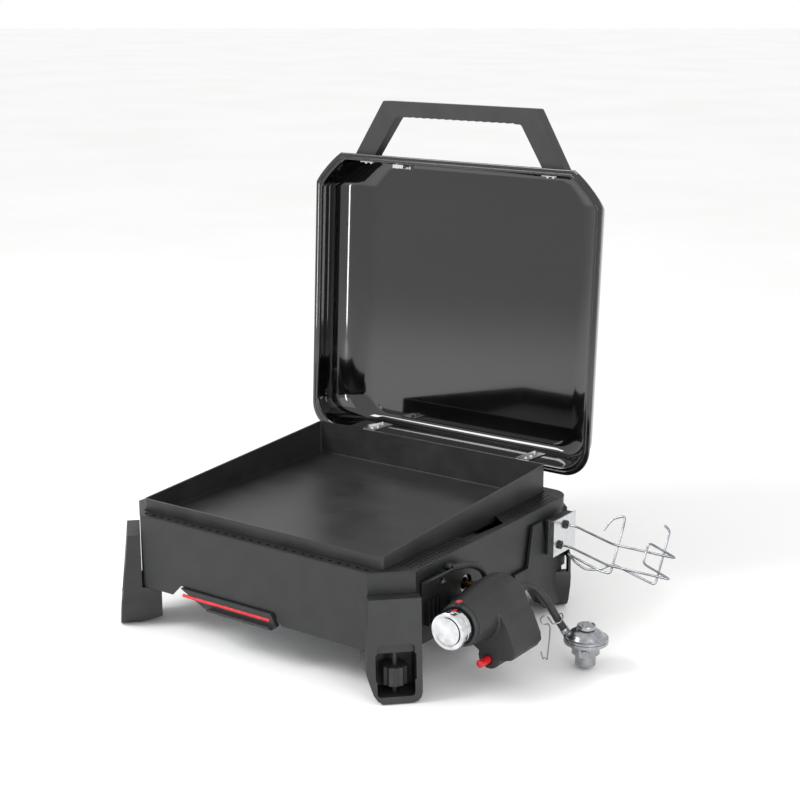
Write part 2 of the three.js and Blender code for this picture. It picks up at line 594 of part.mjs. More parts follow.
function trayRail(side) {
  const edge = TRAY_X + side * (TRAY_W / 2 + 0.5);
  const shape = shapeOf([[edge - side * 5, TRAY_TOP - 5.5], [edge + side * 2, TRAY_TOP - 5.5],
    [edge + side * 2, TRAY_TOP + 0.2], [edge + side * 9, TRAY_TOP + 0.2], [edge + side * 9, TRAY_TOP + 1.7],
    [edge + side * 0.5, TRAY_TOP + 1.7], [edge + side * 0.5, TRAY_TOP - 4], [edge - side * 5, TRAY_TOP - 4]]);
  return prismAlongY(shape, FRONT_Y + SHEET + 3, FRONT_Y + 330);
}
add(grill, 'tray_rail_left', trayRail(-1), steel);
add(grill, 'tray_rail_right', trayRail(1), steel);

// ---- control housing, valve and knob ------------------------------------------------
const WALL = 3;
const LOBE = [[-12, 62], [2, 54], [20, 46], [42, 46], [56, 50], [62, 60], [61, 70], [48, 98], [32, 118], [-8, 104]];
const BOSS_R = 17;
const BOSS_L = 34;

function lobeShape(inset) {
  const centre = new THREE.Vector2(KNOB_X + 28, 78);
  const shrink = 1 - inset / 30;
  return shapeOf(LOBE.map(([x, z]) => [
    centre.x + (KNOB_X + x - centre.x) * shrink, centre.y + (z - centre.y) * shrink]));
}

function housingBody(inset) {
  const barrel = turnedAlongY([[0, BARREL_Y0 + inset], [BARREL_R0 - inset, BARREL_Y0 + inset],
    [BARREL_R1 - inset, BARREL_Y1 - 34], [BARREL_R1 - inset, BARREL_Y1 - inset - 6],
    [BARREL_R1 - inset - 5, BARREL_Y1 - inset], [0, BARREL_Y1 - inset]], KNOB_X, KNOB_Z, 24);
  const lobe = prismAlongY(lobeShape(inset), LOBE_Y0 + inset, BARREL_Y1 - inset - 4);
  const bossEnd = LOBE_Y0 + BOSS_L - inset;
  const boss = rod([BUTTON_X + 2, LOBE_Y0 + inset, BUTTON_Z + 4], [BUTTON_X + 2, bossEnd, BUTTON_Z + 4], BOSS_R - inset, 24);
  const neck = block(BUTTON_X - 8 + inset, BUTTON_X + 12 - inset, LOBE_Y0 + inset, bossEnd, BUTTON_Z + 4, BUTTON_Z + 24);
  return join(barrel, lobe, boss, neck);
}

// The housing parts in two along a plane that faces the firebox.
const SPLIT_X = KNOB_X - 18;
const FOOT_Y = BARREL_Y0 + 61;
const HOSE_EXIT = [KNOB_X + 23, BARREL_Y1 + 5, 123];

function housingOpenings() {
  const stem = rod([KNOB_X, BARREL_Y0 - 5, KNOB_Z], [KNOB_X, BARREL_Y0 + 10, KNOB_Z], 6, 16);
  const button = rod([BUTTON_X, LOBE_Y0 - 5, BUTTON_Z], [BUTTON_X, LOBE_Y0 + 10, BUTTON_Z], BUTTON_R + 0.6, 16);
  const gasOut = rod([KNOB_X - 60, INLET_Y, INLET_Z], [SPLIT_X + 10, INLET_Y, INLET_Z], 7, 16);
  return [stem, button, gasOut];
}

function housingShell() {
  const whole = cut(housingBody(0), housingBody(WALL), ...housingOpenings());
  const gland = rod([HOSE_EXIT[0], BARREL_Y1 - 12, HOSE_EXIT[2]], HOSE_EXIT, HOSE_D / 2 + 2.5, 14);
  return join(cut(whole, block(0, SPLIT_X + GAP, -300, 300, 0, 300)), cut(gland, housingBody(1)));
}

function housingCover() {
  const whole = cut(housingBody(0), housingBody(WALL), ...housingOpenings());
  const foot = cut(rod([SIDE_X + GAP, FOOT_Y, KNOB_Z], [SPLIT_X - 14, FOOT_Y, KNOB_Z], 12, 16),
    rod([SIDE_X - 1, FOOT_Y, KNOB_Z], [SPLIT_X + 1, FOOT_Y, KNOB_Z], 3, 10));
  return join(cut(whole, block(SPLIT_X, 999, -300, 300, 0, 300)), cut(foot, housingBody(1)));
}
add(grill, 'housing_shell', housingShell(), blackPlastic);
add(grill, 'housing_cover', housingCover(), blackPlastic);

function knobBezel() {
  const y = BARREL_Y0 - GAP;
  const ring = turnedAlongY([[7, y], [7, y - 3], [KNOB_R, y - 3], [KNOB_R, y - 7], [BARREL_R0 - 3, y - 7],
    [BARREL_R0 - 1, y - 5], [BARREL_R0 - 1, y], [7, y]], KNOB_X, KNOB_Z, 24);
  const pointer = block(KNOB_X - 4, KNOB_X + 4, y - 9, y - 0.5, KNOB_Z + BARREL_R0 - 3, KNOB_Z + BARREL_R0 + 3);
  return join(ring, pointer);
}
add(grill, 'knob_bezel', knobBezel(), blackPlastic);

const VALVE_Y0 = BARREL_Y0 + WALL + GAP;

function gasValve() {
  const body = turnedAlongY([[0, VALVE_Y0], [13, VALVE_Y0], [13, VALVE_Y0 + 45], [9, VALVE_Y0 + 50],
    [9, INLET_Y + 8], [0, INLET_Y + 8]], KNOB_X, KNOB_Z, 16);
  const branch = rod([KNOB_X, INLET_Y, KNOB_Z], [KNOB_X, INLET_Y, INLET_Z + 5], 7, 12);
  const arm = rod([KNOB_X, INLET_Y, INLET_Z], [KNOB_X - 23, INLET_Y, INLET_Z], 5.5, 12);
  const seat = rod([KNOB_X, VALVE_Y0 - 1, KNOB_Z], [KNOB_X, VALVE_Y0 + 13, KNOB_Z], 9, 16);
  const bore = rod([KNOB_X, VALVE_Y0 - 1, KNOB_Z], [KNOB_X, VALVE_Y0 + 24, KNOB_Z], 4, 12);
  return cut(join(body, branch, arm), seat, bore);
}
add(grill, 'gas_valve', gasValve(), brass);

function gasOrifice() {
  const x0 = SIDE_X - 12;
  const x1 = KNOB_X - 23.5;
  const tubeLine = rod([x0, INLET_Y, INLET_Z], [x1, INLET_Y, INLET_Z], 4, 12);
  const nut = rod([SIDE_X + 6, INLET_Y, INLET_Z], [SIDE_X + 14, INLET_Y, INLET_Z], 6.5, 6);
  const jet = rod([x0 - 6, INLET_Y, INLET_Z], [x0 + 1, INLET_Y, INLET_Z], 2.5, 10, 4);
  return cut(join(tubeLine, nut, jet), rod([x0 - 8, INLET_Y, INLET_Z], [x0 + 6, INLET_Y, INLET_Z], 0.8, 8));
}
add(grill, 'gas_orifice', gasOrifice(), brass);

function valveStem() {
  const stem = rod([KNOB_X, KNOB_Y + 12, KNOB_Z], [KNOB_X, VALVE_Y0 + 19, KNOB_Z], 3.6, 12);
  const collar = rod([KNOB_X, VALVE_Y0 + 5, KNOB_Z], [KNOB_X, VALVE_Y0 + 8, KNOB_Z], 8, 14);
  return join(stem, collar);
}
add(grill, 'valve_stem', valveStem(), brass);

function controlKnob() {
  const back = KNOB_Y + 22;
  const body = turnedAlongY([[0, KNOB_Y + 1.5], [KNOB_R - 6, KNOB_Y + 1.5], [KNOB_R - 5, KNOB_Y], [KNOB_R - 1.5, KNOB_Y],
    [KNOB_R, KNOB_Y + 1.5], [KNOB_R, KNOB_Y + 11], [KNOB_R - 1.5, KNOB_Y + 12], [KNOB_R - 1.5, back], [0, back]],
  KNOB_X, KNOB_Z, 28);
  return cut(body, rod([KNOB_X, KNOB_Y + 11.5, KNOB_Z], [KNOB_X, back + 5, KNOB_Z], 3.6 + GAP, 12));
}
add(grill, 'control_knob', controlKnob(), steel);

function igniterModule() {
  const y = LOBE_Y0 + WALL + 13.3;
  const length = BOSS_L - WALL - 16.8;
  const body = rod([BUTTON_X + 2, y, BUTTON_Z + 4], [BUTTON_X + 2, y + length, BUTTON_Z + 4], 11, 16);
  const cell = block(BUTTON_X - 4, BUTTON_X + 8, y, y + 38, BUTTON_Z + 14, BUTTON_Z + 30);
  const guide = rod([BUTTON_X, y - 4, BUTTON_Z], [BUTTON_X, y + 2, BUTTON_Z], 2.2, 10);
  const clip = block(BUTTON_X - 0.7, BUTTON_X + 4.7, y + 2, y + 11, BUTTON_Z + 4 - BOSS_R + WALL + 0.6, BUTTON_Z);
  return join(body, cell, guide, clip);
}
add(grill, 'igniter_module', igniterModule(), paint(0x2a2a2c, 0.5, 0));

function igniterButton() {
  const y0 = LOBE_Y0 - 20;
  const cap = turnedAlongY([[0, y0], [BUTTON_R - 1.4, y0], [BUTTON_R, y0 + 1.4], [BUTTON_R, LOBE_Y0 + WALL + 1],
    [0, LOBE_Y0 + WALL + 1]], BUTTON_X, BUTTON_Z, 16);
  const stop = rod([BUTTON_X, LOBE_Y0 + WALL + 0.5, BUTTON_Z], [BUTTON_X, LOBE_Y0 + WALL + 2.5, BUTTON_Z], BUTTON_R + 1.6, 16);
  return join(cap, stop);
}
add(grill, 'igniter_button', igniterButton(), red);

// ---- side bracket and bent arm --------------------------------------------------------
function sideBracket() {
  const x0 = SIDE_X + GAP;
  const y0 = FRONT_Y + CORNER_CUT + 8;
  const y1 = y0 + 52;
  const top = LEDGE_Z - SKIRT_H - 2;
  const plate = prismAlongX(shapeOf([[y0, top - 66], [y1, top - 66], [y1, top - 8], [y1 - 8, top], [y0, top]]), x0, x0 + 2);
  const hood = prismAlongY(shapeOf([[x0, top - 2], [x0 + 16, top + 8], [x0 + 18, top + 6.4], [x0 + 2, top - 6]]), y0, y1);
  const fins = [];
  for (let i = 0; i < 4; i += 1) {
    const y = y0 + 4 + i * 10;
    fins.push(block(x0 + 1, x0 + 11, y, y + 2, top - 62, top - 26));
  }
  return join(plate, hood, ...fins);
}
add(grill, 'side_bracket', sideBracket(), blackPaint);

function bracketBolt() {
  const x = SIDE_X + GAP + 2 + GAP;
  const y = FRONT_Y + CORNER_CUT + 53;
  const z = LEDGE_Z - SKIRT_H - 14;
  return join(rod([x, y, z], [x + 4.5, y, z], 5, 6), rod([x + 4, y, z], [x + 7, y, z], 2.6, 10));
}
add(grill, 'bracket_bolt', bracketBolt(), steel);

function supportArm() {
  const x = SIDE_X + 10;
  const y = BARREL_Y1;
  const path = smoothPath([[x, y - 71, 161], [x + 3, y - 59, 160], [x + 6, y - 39, 157], [x + 8, y - 19, 149],
    [x + 9, y - 3, 136], [x + 9, y + 5, 120], [x + 9, y + 7, 106]]);
  return join(tube(path, 5, 10, 12), rod([SIDE_X + GAP, y - 69, 161], [x + 1, y - 69, 161], 5.5, 12));
}
add(grill, 'support_arm', supportArm(), blackPlastic);

// ---- hinges -----------------------------------------------------------------------------
function hingeBracket(x) {
  const y0 = REAR_Y + GAP;
  const arm = prismAlongX(shapeOf([[y0, HINGE_Z - 46], [y0 + 3, HINGE_Z - 46], [HINGE_Y + 7, HINGE_Z - 8],
    [HINGE_Y + 7, HINGE_Z + 2], [HINGE_Y + 4, HINGE_Z + 7], [HINGE_Y - 4, HINGE_Z + 7], [HINGE_Y - 8, HINGE_Z - 2],
    [y0, HINGE_Z - 5]]), x - 22, x + 22);
  const slot = block(x - 14, x + 14, y0 + 3, HINGE_Y + 20, HINGE_Z - 60, HINGE_Z + 20);
  const bore = rod([x - 30, HINGE_Y, HINGE_Z], [x + 30, HINGE_Y, HINGE_Z], HINGE_PIN_R + GAP, 16);
  return cut(arm, slot, bore);
}

function hingePin(x) {
  const shaft = rod([x - 23, HINGE_Y, HINGE_Z], [x + 23, HINGE_Y, HINGE_Z], HINGE_PIN_R, 12);
  const head = rod([x + 22 + GAP, HINGE_Y, HINGE_Z], [x + 24.5, HINGE_Y, HINGE_Z], HINGE_PIN_R + 2, 12);
  return join(shaft, head);
}

for (const [side, x] of [['left', -HINGE_X], ['right', HINGE_X]]) {
  add(grill, `hinge_bracket_${side}`, hingeBracket(x), blackPaint);
  add(grill, `hinge_pin_${side}`, hingePin(x), steel);
}

// ---- lid ---------------------------------------------------------------------------------
// Drawn closed, with the hinge axis as the origin: y from the rim's back edge at LID_REAR
// forwards to negative y, z up from the rim plane at LID_LIFT.
const lid = new THREE.Group();
lid.position.set(0, HINGE_Y, HINGE_Z);
lid.rotation.x = -THREE.MathUtils.degToRad(LID_OPEN);
grill.add(lid);

const LID_FRONT = LID_REAR - LID_L;
const LID_TOP = LID_LIFT + LID_DEPTH;

function lidOutline(inset) {
  const x = LID_W / 2 - inset;
  const y0 = LID_FRONT + inset;
  const y1 = LID_REAR - inset;
  const cx = LID_CUT_X - inset * 0.6;
  const cy = LID_CUT_Y - inset * 0.6;
  const r = LID_REAR_R - inset;
  const bulge = 3.5;
  const shape = new THREE.Shape();
  shape.moveTo(-x + cx, y0);
  shape.lineTo(x - cx, y0);
  shape.quadraticCurveTo(x - cx / 2 + bulge * 1.4, y0 + cy / 2 - bulge * 1.4, x, y0 + cy);
  shape.lineTo(x, y1 - r);
  shape.absarc(x - r, y1 - r, r, 0, Math.PI / 2);
  shape.lineTo(-x + r, y1);
  shape.absarc(-x + r, y1 - r, r, Math.PI / 2, Math.PI);
  shape.lineTo(-x, y0 + cy);
  shape.quadraticCurveTo(-x + cx / 2 - bulge * 1.4, y0 + cy / 2 - bulge * 1.4, -x + cx, y0);
  return shape;
}

// Section with square lower corners and rounded upper corners.
function domeSection(a0, a1, radius, top) {
  const shape = new THREE.Shape();
  shape.moveTo(a0, LID_LIFT - 1);
  shape.lineTo(a1, LID_LIFT - 1);
  shape.lineTo(a1, top - radius);
  shape.absarc(a1 - radius, top - radius, radius, 0, Math.PI / 2);
  shape.lineTo(a0 + radius, top);
  shape.absarc(a0 + radius, top - radius, radius, Math.PI / 2, Math.PI);
  return shape;
}

function dome(inset) {
  const x = LID_W / 2 - RIM_INSET - inset;
  const y0 = LID_FRONT + RIM_INSET + inset;
  const y1 = LID_REAR - RIM_INSET - inset;
  const top = LID_TOP - inset;
  const plan = prism(lidOutline(RIM_INSET + inset), inset > 0 ? LID_LIFT - 5 : LID_LIFT, top + 1, 8);
  const across = prismAlongY(domeSection(-x, x, LID_SIDE_R - inset, top), y0 - 1, y1 + 1, 10);
  const along = prismAlongX(domeSection(y0, y1, LID_END_R - inset, top), -x - 1, x + 1, 5);
  return plan.intersect(inset > 0 ? join(across, block(-x, x, y0 - 1, y1 + 1, LID_LIFT - 9, LID_LIFT)) : across)
    .intersect(inset > 0 ? join(along, block(-x - 1, x + 1, y0, y1, LID_LIFT - 9, LID_LIFT)) : along);
}

function lidShell() {
  const rim = prism(lidOutline(0), LID_LIFT, LID_LIFT + RIM_T, 8);
  const step = prism(lidOutline(5), LID_LIFT + RIM_T - 0.5, LID_LIFT + RIM_T + 2, 8);
  return cut(join(rim, step, dome(0)), dome(SHEET));
}
add(lid, 'lid_shell', lidShell(), enamel);

const LID_FRONT_FACE = LID_FRONT + RIM_INSET;

function lidHandle() {
  const y0 = LID_FRONT_FACE - GAP;
  const foot = HANDLE_FOOT / 2;
  const top = HANDLE_TOP / 2;
  const y1 = y0 - HANDLE_H;
  const inner = y1 + HANDLE_BAR;
  const outline = new THREE.Shape();
  outline.moveTo(-foot - 3, y0);
  outline.lineTo(-foot + 36, y0);
  outline.lineTo(-top + 27, inner);
  const scallops = 15;
  const run = (2 * (top - 27) - 20) / scallops;
  for (let i = 0; i < scallops; i += 1) {
    const x = -top + 37 + i * run;
    outline.lineTo(x, inner);
    outline.quadraticCurveTo(x + run / 2, inner - 3.2, x + run, inner);
  }
  outline.lineTo(top - 27, inner);
  outline.lineTo(foot - 36, y0);
  outline.lineTo(foot + 3, y0);
  outline.lineTo(top, y1);
  outline.lineTo(-top, y1);
  const z = LID_LIFT + HANDLE_W;
  return prism(outline, z - HANDLE_T / 2, z + HANDLE_T / 2, 3);
}
add(lid, 'lid_handle', lidHandle(), blackPlastic);

function handlePlate(side) {
  const x = side * 171;
  const y = LID_FRONT_FACE + SHEET + GAP;
  const z = LID_LIFT + 14;
  const plate = block(x - 13, x + 13, y, y + 1.5, z - 6, z + 9);
  const screws = [-5, 5].map((dx) => rod([x + dx, y + 1, z], [x + dx, y + 4, z], 3.2, 8, 2.2));
  return join(plate, ...screws);
}
add(lid, 'handle_plate_left', handlePlate(-1), steel);
add(lid, 'handle_plate_right', handlePlate(1), steel);

function hingeLeaf(x) {
  const wall = LID_REAR - RIM_INSET;
  const strap = prismAlongX(shapeOf([[wall + GAP, LID_LIFT + RIM_T + 2 + GAP], [wall + GAP, LID_LIFT + 52],
    [wall + 3 + GAP, LID_LIFT + 52], [wall + 3 + GAP, LID_LIFT + 16], [LID_REAR + 4, LID_LIFT + 10],
    [LID_REAR + 5, 5], [0, 6], [5, 4], [6, 0], [4, -4], [0, -6], [-5, -4], [LID_REAR + 2.5, 0],
    [LID_REAR + 0.6, 4], [LID_REAR + 0.6, LID_LIFT + RIM_T + 2 + GAP]]), x - 13, x + 13);
  const bore = rod([x - 20, 0, 0], [x + 20, 0, 0], HINGE_PIN_R + GAP, 16);
  return cut(strap, bore);
}

function hingeScrews(x) {
  const inside = LID_REAR - RIM_INSET - SHEET - GAP;
  const plate = block(x - 12, x + 12, inside - 1.2, inside, LID_LIFT + 3, LID_LIFT + 56);
  const spots = [[4, 9], [4, 24], [-4, 48]];
  const heads = spots.map(([dx, dz]) => rod([x + dx, inside - 1, LID_LIFT + dz], [x + dx, inside - 4, LID_LIFT + dz], 4, 8, 2.6));
  return join(plate, ...heads);
}

for (const [side, x] of [['left', -HINGE_X], ['right', HINGE_X]]) {
  add(lid, `hinge_leaf_${side}`, hingeLeaf(x), blackPaint);
  add(lid, `hinge_screws_${side}`, hingeScrews(x), steel);
}

const LATCH_X = -105;
const LATCH_Z = LID_LIFT + 22;

function latchHook() {
  const y = LID_FRONT_FACE + SHEET + 6;
  const arm = block(LATCH_X - 10, LATCH_X + 10, y - 1, y + 1, LID_LIFT + 4, LATCH_Z);
  const hook = block(LATCH_X - 10, LATCH_X + 10, y - 4.5, y + 1, LID_LIFT + 2.5, LID_LIFT + 5);
  const eye = rod([LATCH_X - 10, y, LATCH_Z], [LATCH_X + 10, y, LATCH_Z], 3.4, 14);
  const bore = rod([LATCH_X - 12, y, LATCH_Z], [LATCH_X + 12, y, LATCH_Z], 1.5 + GAP, 12);
  return cut(join(arm, hook, eye), bore);
}

function latchBracket() {
  const y = LID_FRONT_FACE + SHEET + 6;
  const pin = rod([LATCH_X - 14, y, LATCH_Z], [LATCH_X + 14, y, LATCH_Z], 1.5, 12);
  const ears = [-1, 1].map((s) => block(LATCH_X + s * 13 - 1.5, LATCH_X + s * 13 + 1.5,
    LID_FRONT_FACE + SHEET + GAP, y + 3, LATCH_Z - 4, LATCH_Z + 4));
  const base = block(LATCH_X - 14.5, LATCH_X + 14.5, LID_FRONT_FACE + SHEET + GAP, LID_FRONT_FACE + SHEET + 1.5,
    LATCH_Z - 4, LATCH_Z + 4);
  return join(pin, ...ears, base);
}
add(lid, 'latch_hook', latchHook(), steel);
add(lid, 'latch_bracket', latchBracket(), steel);

// ---- cylinder rack ---------------------------------------------------------------------
const PLATE_Y0 = REAR_Y - 88;
const PLATE_Y1 = REAR_Y - 23;
const PLATE_Z0 = 101;
const PLATE_Z1 = 157;
const EYE_UPPER = [REAR_Y - 55, 144];
const EYE_LOWER = [REAR_Y - 71, 116.5];
const EYE_R = 5.5;

function rackMount() {
  const x0 = SIDE_X + 2 * GAP + WING_T;
  const box = block(x0, RACK_X - 2 - GAP, PLATE_Y0 + 2, PLATE_Y1 - 3, PLATE_Z0 + 1, PLATE_Z1 - 1);
  return cut(box, ...[EYE_UPPER, EYE_LOWER].map(([y, z]) => rod([RACK_X - 12, y, z], [RACK_X + 5, y, z], EYE_R + GAP, 12)));
}

function rackPlate() {
  const plate = block(RACK_X - 2, RACK_X, PLATE_Y0, PLATE_Y1, PLATE_Z0, PLATE_Z1);
  const lip = block(RACK_X - 10, RACK_X, PLATE_Y0, PLATE_Y0 + 1.5, PLATE_Z0, PLATE_Z1);
  return cut(join(plate, lip), ...[EYE_UPPER, EYE_LOWER].map(([y, z]) => rod([RACK_X - 12, y, z], [RACK_X + 5, y, z], EYE_R - 1.2, 12)));
}

function rackGrommet([y, z]) {
  const profile = [[WIRE_R + GAP, 0], [EYE_R - 1.5, 0], [EYE_R - 1.5, 9], [EYE_R + 1, 9], [EYE_R + 1, 12],
    [WIRE_R + GAP, 12], [WIRE_R + GAP, 0]];
  const geometry = new THREE.LatheGeometry(profile.map(([r, h]) => new THREE.Vector2(r, h)), 12);
  geometry.rotateZ(-Math.PI / 2);
  geometry.translate(RACK_X - 9 + GAP, y, z);
  return solid(geometry);
}
add(grill, 'rack_mount', rackMount(), blackPlastic);
add(grill, 'rack_plate', rackPlate(), steel);
add(grill, 'rack_grommet_upper', rackGrommet(EYE_UPPER), rubber);
add(grill, 'rack_grommet_lower', rackGrommet(EYE_LOWER), rubber);

// Rails run out of the two eyes, drop, run level and turn back up at their ends.
const RAIL_DROP_X0 = RACK_X + 20;
const RAIL_DROP_X1 = RAIL_DROP_X0 + 62;
const RAIL_DROP = 15;
const RAIL_END = RAIL_DROP_X1 + 102;
const TIP_BACK = 45;
const TIP_RISE = 15;

function rackFrame() {
  const [yu, zu] = EYE_UPPER;
  const [yl, zl] = EYE_LOWER;
  return wire([
    [RACK_X - 8, yu, zu], [RAIL_DROP_X0, yu, zu], [RAIL_DROP_X1, yu, zu - RAIL_DROP], [RAIL_END, yu, zu - RAIL_DROP],
    [RAIL_END - TIP_BACK, yu, zu - RAIL_DROP + TIP_RISE], [RAIL_END - TIP_BACK, yl, zl - RAIL_DROP + TIP_RISE],
    [RAIL_END, yl, zl - RAIL_DROP], [RAIL_DROP_X1, yl, zl - RAIL_DROP], [RAIL_DROP_X0, yl, zl], [RACK_X - 8, yl, zl],
  ], WIRE_R, 7);
}
add(grill, 'rack_frame_wire', rackFrame(), steel);

// Cradle: two cross bars behind the rails, joined by a long bent loop under the lower rail.
function rackCradle() {
  const spacing = new THREE.Vector2(EYE_LOWER[0] - EYE_UPPER[0], EYE_LOWER[1] - EYE_UPPER[1]);
  const along = spacing.clone().normalize();
  const behind = 2 * WIRE_R + GAP;
  const at = (x, distance) => [x, EYE_UPPER[0] + along.x * distance - along.y * behind,
    EYE_UPPER[1] - RAIL_DROP + along.y * distance + along.x * behind];
  const inner = RAIL_DROP_X1 + 6;
  const outer = inner + 73;
  const first = wire([at(inner - 30, -18), at(inner - 20, -38), at(inner - 2, -46), at(inner, -30), at(inner, 43),
    at(inner - 18, 42), at(inner - 76, 28)], WIRE_R, 6);
  const second = wire([at(inner - 74, 28.6), at(inner - 60, 38), at(inner - 40, 45), at(inner - 18, 40), at(inner, 28),
    at(outer, 44), at(outer, -38), at(outer - 10, -44)], WIRE_R, 6);
  return join(first, second);
}
add(grill, 'rack_cradle_wire', rackCradle(), steel);

// ---- hose and regulator ---------------------------------------------------------------
const HOSE_POINTS = [
  [331, -39.7, 123], [331, -34.5, 123.2], [333.6, -28, 123.4], [339.4, -22.3, 120.2], [346.2, -17.2, 113.2],
  [352.2, -12.2, 103.6], [357.2, -7.2, 92.3], [361.4, -2.2, 80.6], [365.6, 3, 69.2], [370.7, 8.4, 57.1],
];

function gasHose() {
  return tube(smoothPath(HOSE_POINTS), HOSE_D / 2, 10, 14);
}
add(grill, 'gas_hose', gasHose(), rubber);

function regulatorBody() {
  const cylinder = turned([[0, 6], [14.5, 6], [14.5, 21.5], [0, 21.5]], REG_X, REG_Y, 24);
  const hex = rod([REG_X, REG_Y, 21], [REG_X, REG_Y, 39.5], 19.5, 6);
  const flange = turned([[0, 39], [REG_FLANGE_R, 39], [REG_FLANGE_R, 43.6], [0, 43.6]], REG_X, REG_Y, 28);
  const pins = [-2.4, 2.4].map((dx) => rod([REG_X + dx, REG_Y, 0], [REG_X + dx, REG_Y, 7], 1.2, 6));
  const mouth = rod([REG_X, REG_Y, 5], [REG_X, REG_Y, 12], 9, 16);
  const core = rod([REG_X, REG_Y, 5.2], [REG_X, REG_Y, 14], 4.6, 12);
  const out = new THREE.Vector2(0.45, -0.89).normalize();
  const at = (r, z) => [REG_X + out.x * r, REG_Y + out.y * r, z];
  const plug = rod(at(14, 30), at(27, 30), 5.3, 12);
  return join(cut(join(cylinder, hex, flange), mouth), core, plug, ...pins);
}

function regulatorDome() {
  const z = 43.6 + GAP;
  const bell = turned([[0, z], [REG_FLANGE_R, z], [REG_FLANGE_R, z + 3], [REG_FLANGE_R - 9, z + 9.5],
    [REG_FLANGE_R - 17, z + 13.8], [REG_FLANGE_R - 21, z + 14.8], [0, z + 14.8]], REG_X, REG_Y, 24);
  const inlet = rod([REG_X - 29.1, REG_Y - 12.9, 56.7], [REG_X - 22, REG_Y - 5.4, 40], 6, 14);
  return join(bell, cut(inlet, block(0, 999, -99, 99, 0, z)));
}

function regulatorCap() {
  const z = 43.6 + 14.8 + 2 * GAP;
  return turned([[0, z], [13, z], [13, z + 5], [12, z + 6], [5, z + 6], [5, z + 5], [0, z + 5]], REG_X, REG_Y, 20);
}
add(grill, 'regulator_body', regulatorBody(), diecast);
add(grill, 'regulator_dome', regulatorDome(), diecast);
add(grill, 'regulator_cap', regulatorCap(), diecast);

// Spring-wire hook that hangs the regulator when it is stored: a ring beside the hose,
// a band around it and a long tail below. a runs right, b to the front and c up.
const HOOK_ORIGIN = [362, -2, 72];
const HOOK_RIGHT = [0.814, 0.581];

function hoseHook() {
  const at = (a, b, c) => [HOOK_ORIGIN[0] + HOOK_RIGHT[0] * a + HOOK_RIGHT[1] * b,
    HOOK_ORIGIN[1] + HOOK_RIGHT[1] * a - HOOK_RIGHT[0] * b, HOOK_ORIGIN[2] + c];
  const tail = [at(-17.6, 4, -48), at(-14.8, 4, -59), at(-12.4, 4, -56), at(-9, 4, -60), at(-6.4, 5, -24), at(-6.2, 7, -9)];
  const ring = [];
  for (let i = 0; i <= 7; i += 1) {
    const angle = -0.8 - (i / 7) * 4.7;
    ring.push(at(-13.4 + 6 * Math.cos(angle), 4 - i * 0.25, -1 + 6 * Math.sin(angle)));
  }
  const band = [at(-3, 9.5, -4), at(7.5, 8.5, -2), at(12, 3, 4), at(11.5, -6, 5.5), at(3, -11, 3), at(-6, -10.5, 3)];
  return wire([...tail, ...ring, ...band], 1, 2.2, 6);
}
add(grill, 'hose_hook', hoseHook(), steel);

// ---- origin at the middle of the underside --------------------------------------------
const CORD_NODES = ['gas_hose', 'regulator_body', 'regulator_dome', 'regulator_cap', 'hose_hook'];
grill.updateMatrixWorld(true);
const extent = new THREE.Box3();
grill.traverse((object) => {
  if (object.isMesh && !CORD_NODES.includes(object.name)) extent.expandByObject(object, true);
});
grill.position.set(-(extent.min.x + extent.max.x) / 2, -(extent.min.y + extent.max.y) / 2, -extent.min.z);

export default grill;
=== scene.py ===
"""Looks of a tabletop gas griddle with a deep hinged lid. Metres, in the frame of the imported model."""

import json
import math

import bmesh
import bpy
from mathutils import Matrix, Vector


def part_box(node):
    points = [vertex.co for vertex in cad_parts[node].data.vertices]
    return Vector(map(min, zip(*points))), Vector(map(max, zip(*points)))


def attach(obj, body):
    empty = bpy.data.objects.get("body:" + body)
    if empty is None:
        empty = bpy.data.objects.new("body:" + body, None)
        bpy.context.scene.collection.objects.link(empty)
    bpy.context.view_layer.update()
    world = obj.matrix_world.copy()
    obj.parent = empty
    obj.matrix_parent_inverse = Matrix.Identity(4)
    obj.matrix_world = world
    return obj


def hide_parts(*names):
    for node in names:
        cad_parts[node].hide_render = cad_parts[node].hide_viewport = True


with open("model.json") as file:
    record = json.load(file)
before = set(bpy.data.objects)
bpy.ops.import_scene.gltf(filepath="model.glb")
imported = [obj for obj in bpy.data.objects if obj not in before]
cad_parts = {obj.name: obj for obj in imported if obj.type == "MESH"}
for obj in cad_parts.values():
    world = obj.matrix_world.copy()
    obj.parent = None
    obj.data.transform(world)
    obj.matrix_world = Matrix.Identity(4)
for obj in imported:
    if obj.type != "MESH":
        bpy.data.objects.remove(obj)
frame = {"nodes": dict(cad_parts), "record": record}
bpy.context.view_layer.update()
MM = 0.001

ledge_low, ledge_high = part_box("top_frame")
CENTRE_X = (ledge_low.x + ledge_high.x) / 2
CENTRE_Y = (ledge_low.y + ledge_high.y) / 2
BODY_W = (ledge_high.x - ledge_low.x) / MM
BODY_D = (ledge_high.y - ledge_low.y) / MM
LEDGE_Z = ledge_high.z / MM
SIDE_X = BODY_W / 2
FRONT_Y = -BODY_D / 2
REAR_Y = BODY_D / 2
FRONT_CUT = 47
REAR_R = 32


def at(x, y, z):
    """A point given in millimetres from the middle of the ledge, on the ground."""
    return Vector((CENTRE_X + x * MM, CENTRE_Y + y * MM, z * MM))


# ---- camera ---------------------------------------------------------------
def place_camera():
    data = bpy.data.cameras.new("camera")
    data.lens = 72.94
    data.sensor_width = 36
    data.clip_end = 30
    camera = bpy.data.objects.new("camera", data)
    camera.location = at(1410.65, -1839.3, 936.7)
    camera.rotation_euler = (math.radians(75.35), 0, math.radians(35.54))
    bpy.context.scene.collection.objects.link(camera)
    bpy.context.scene.camera = camera


place_camera()


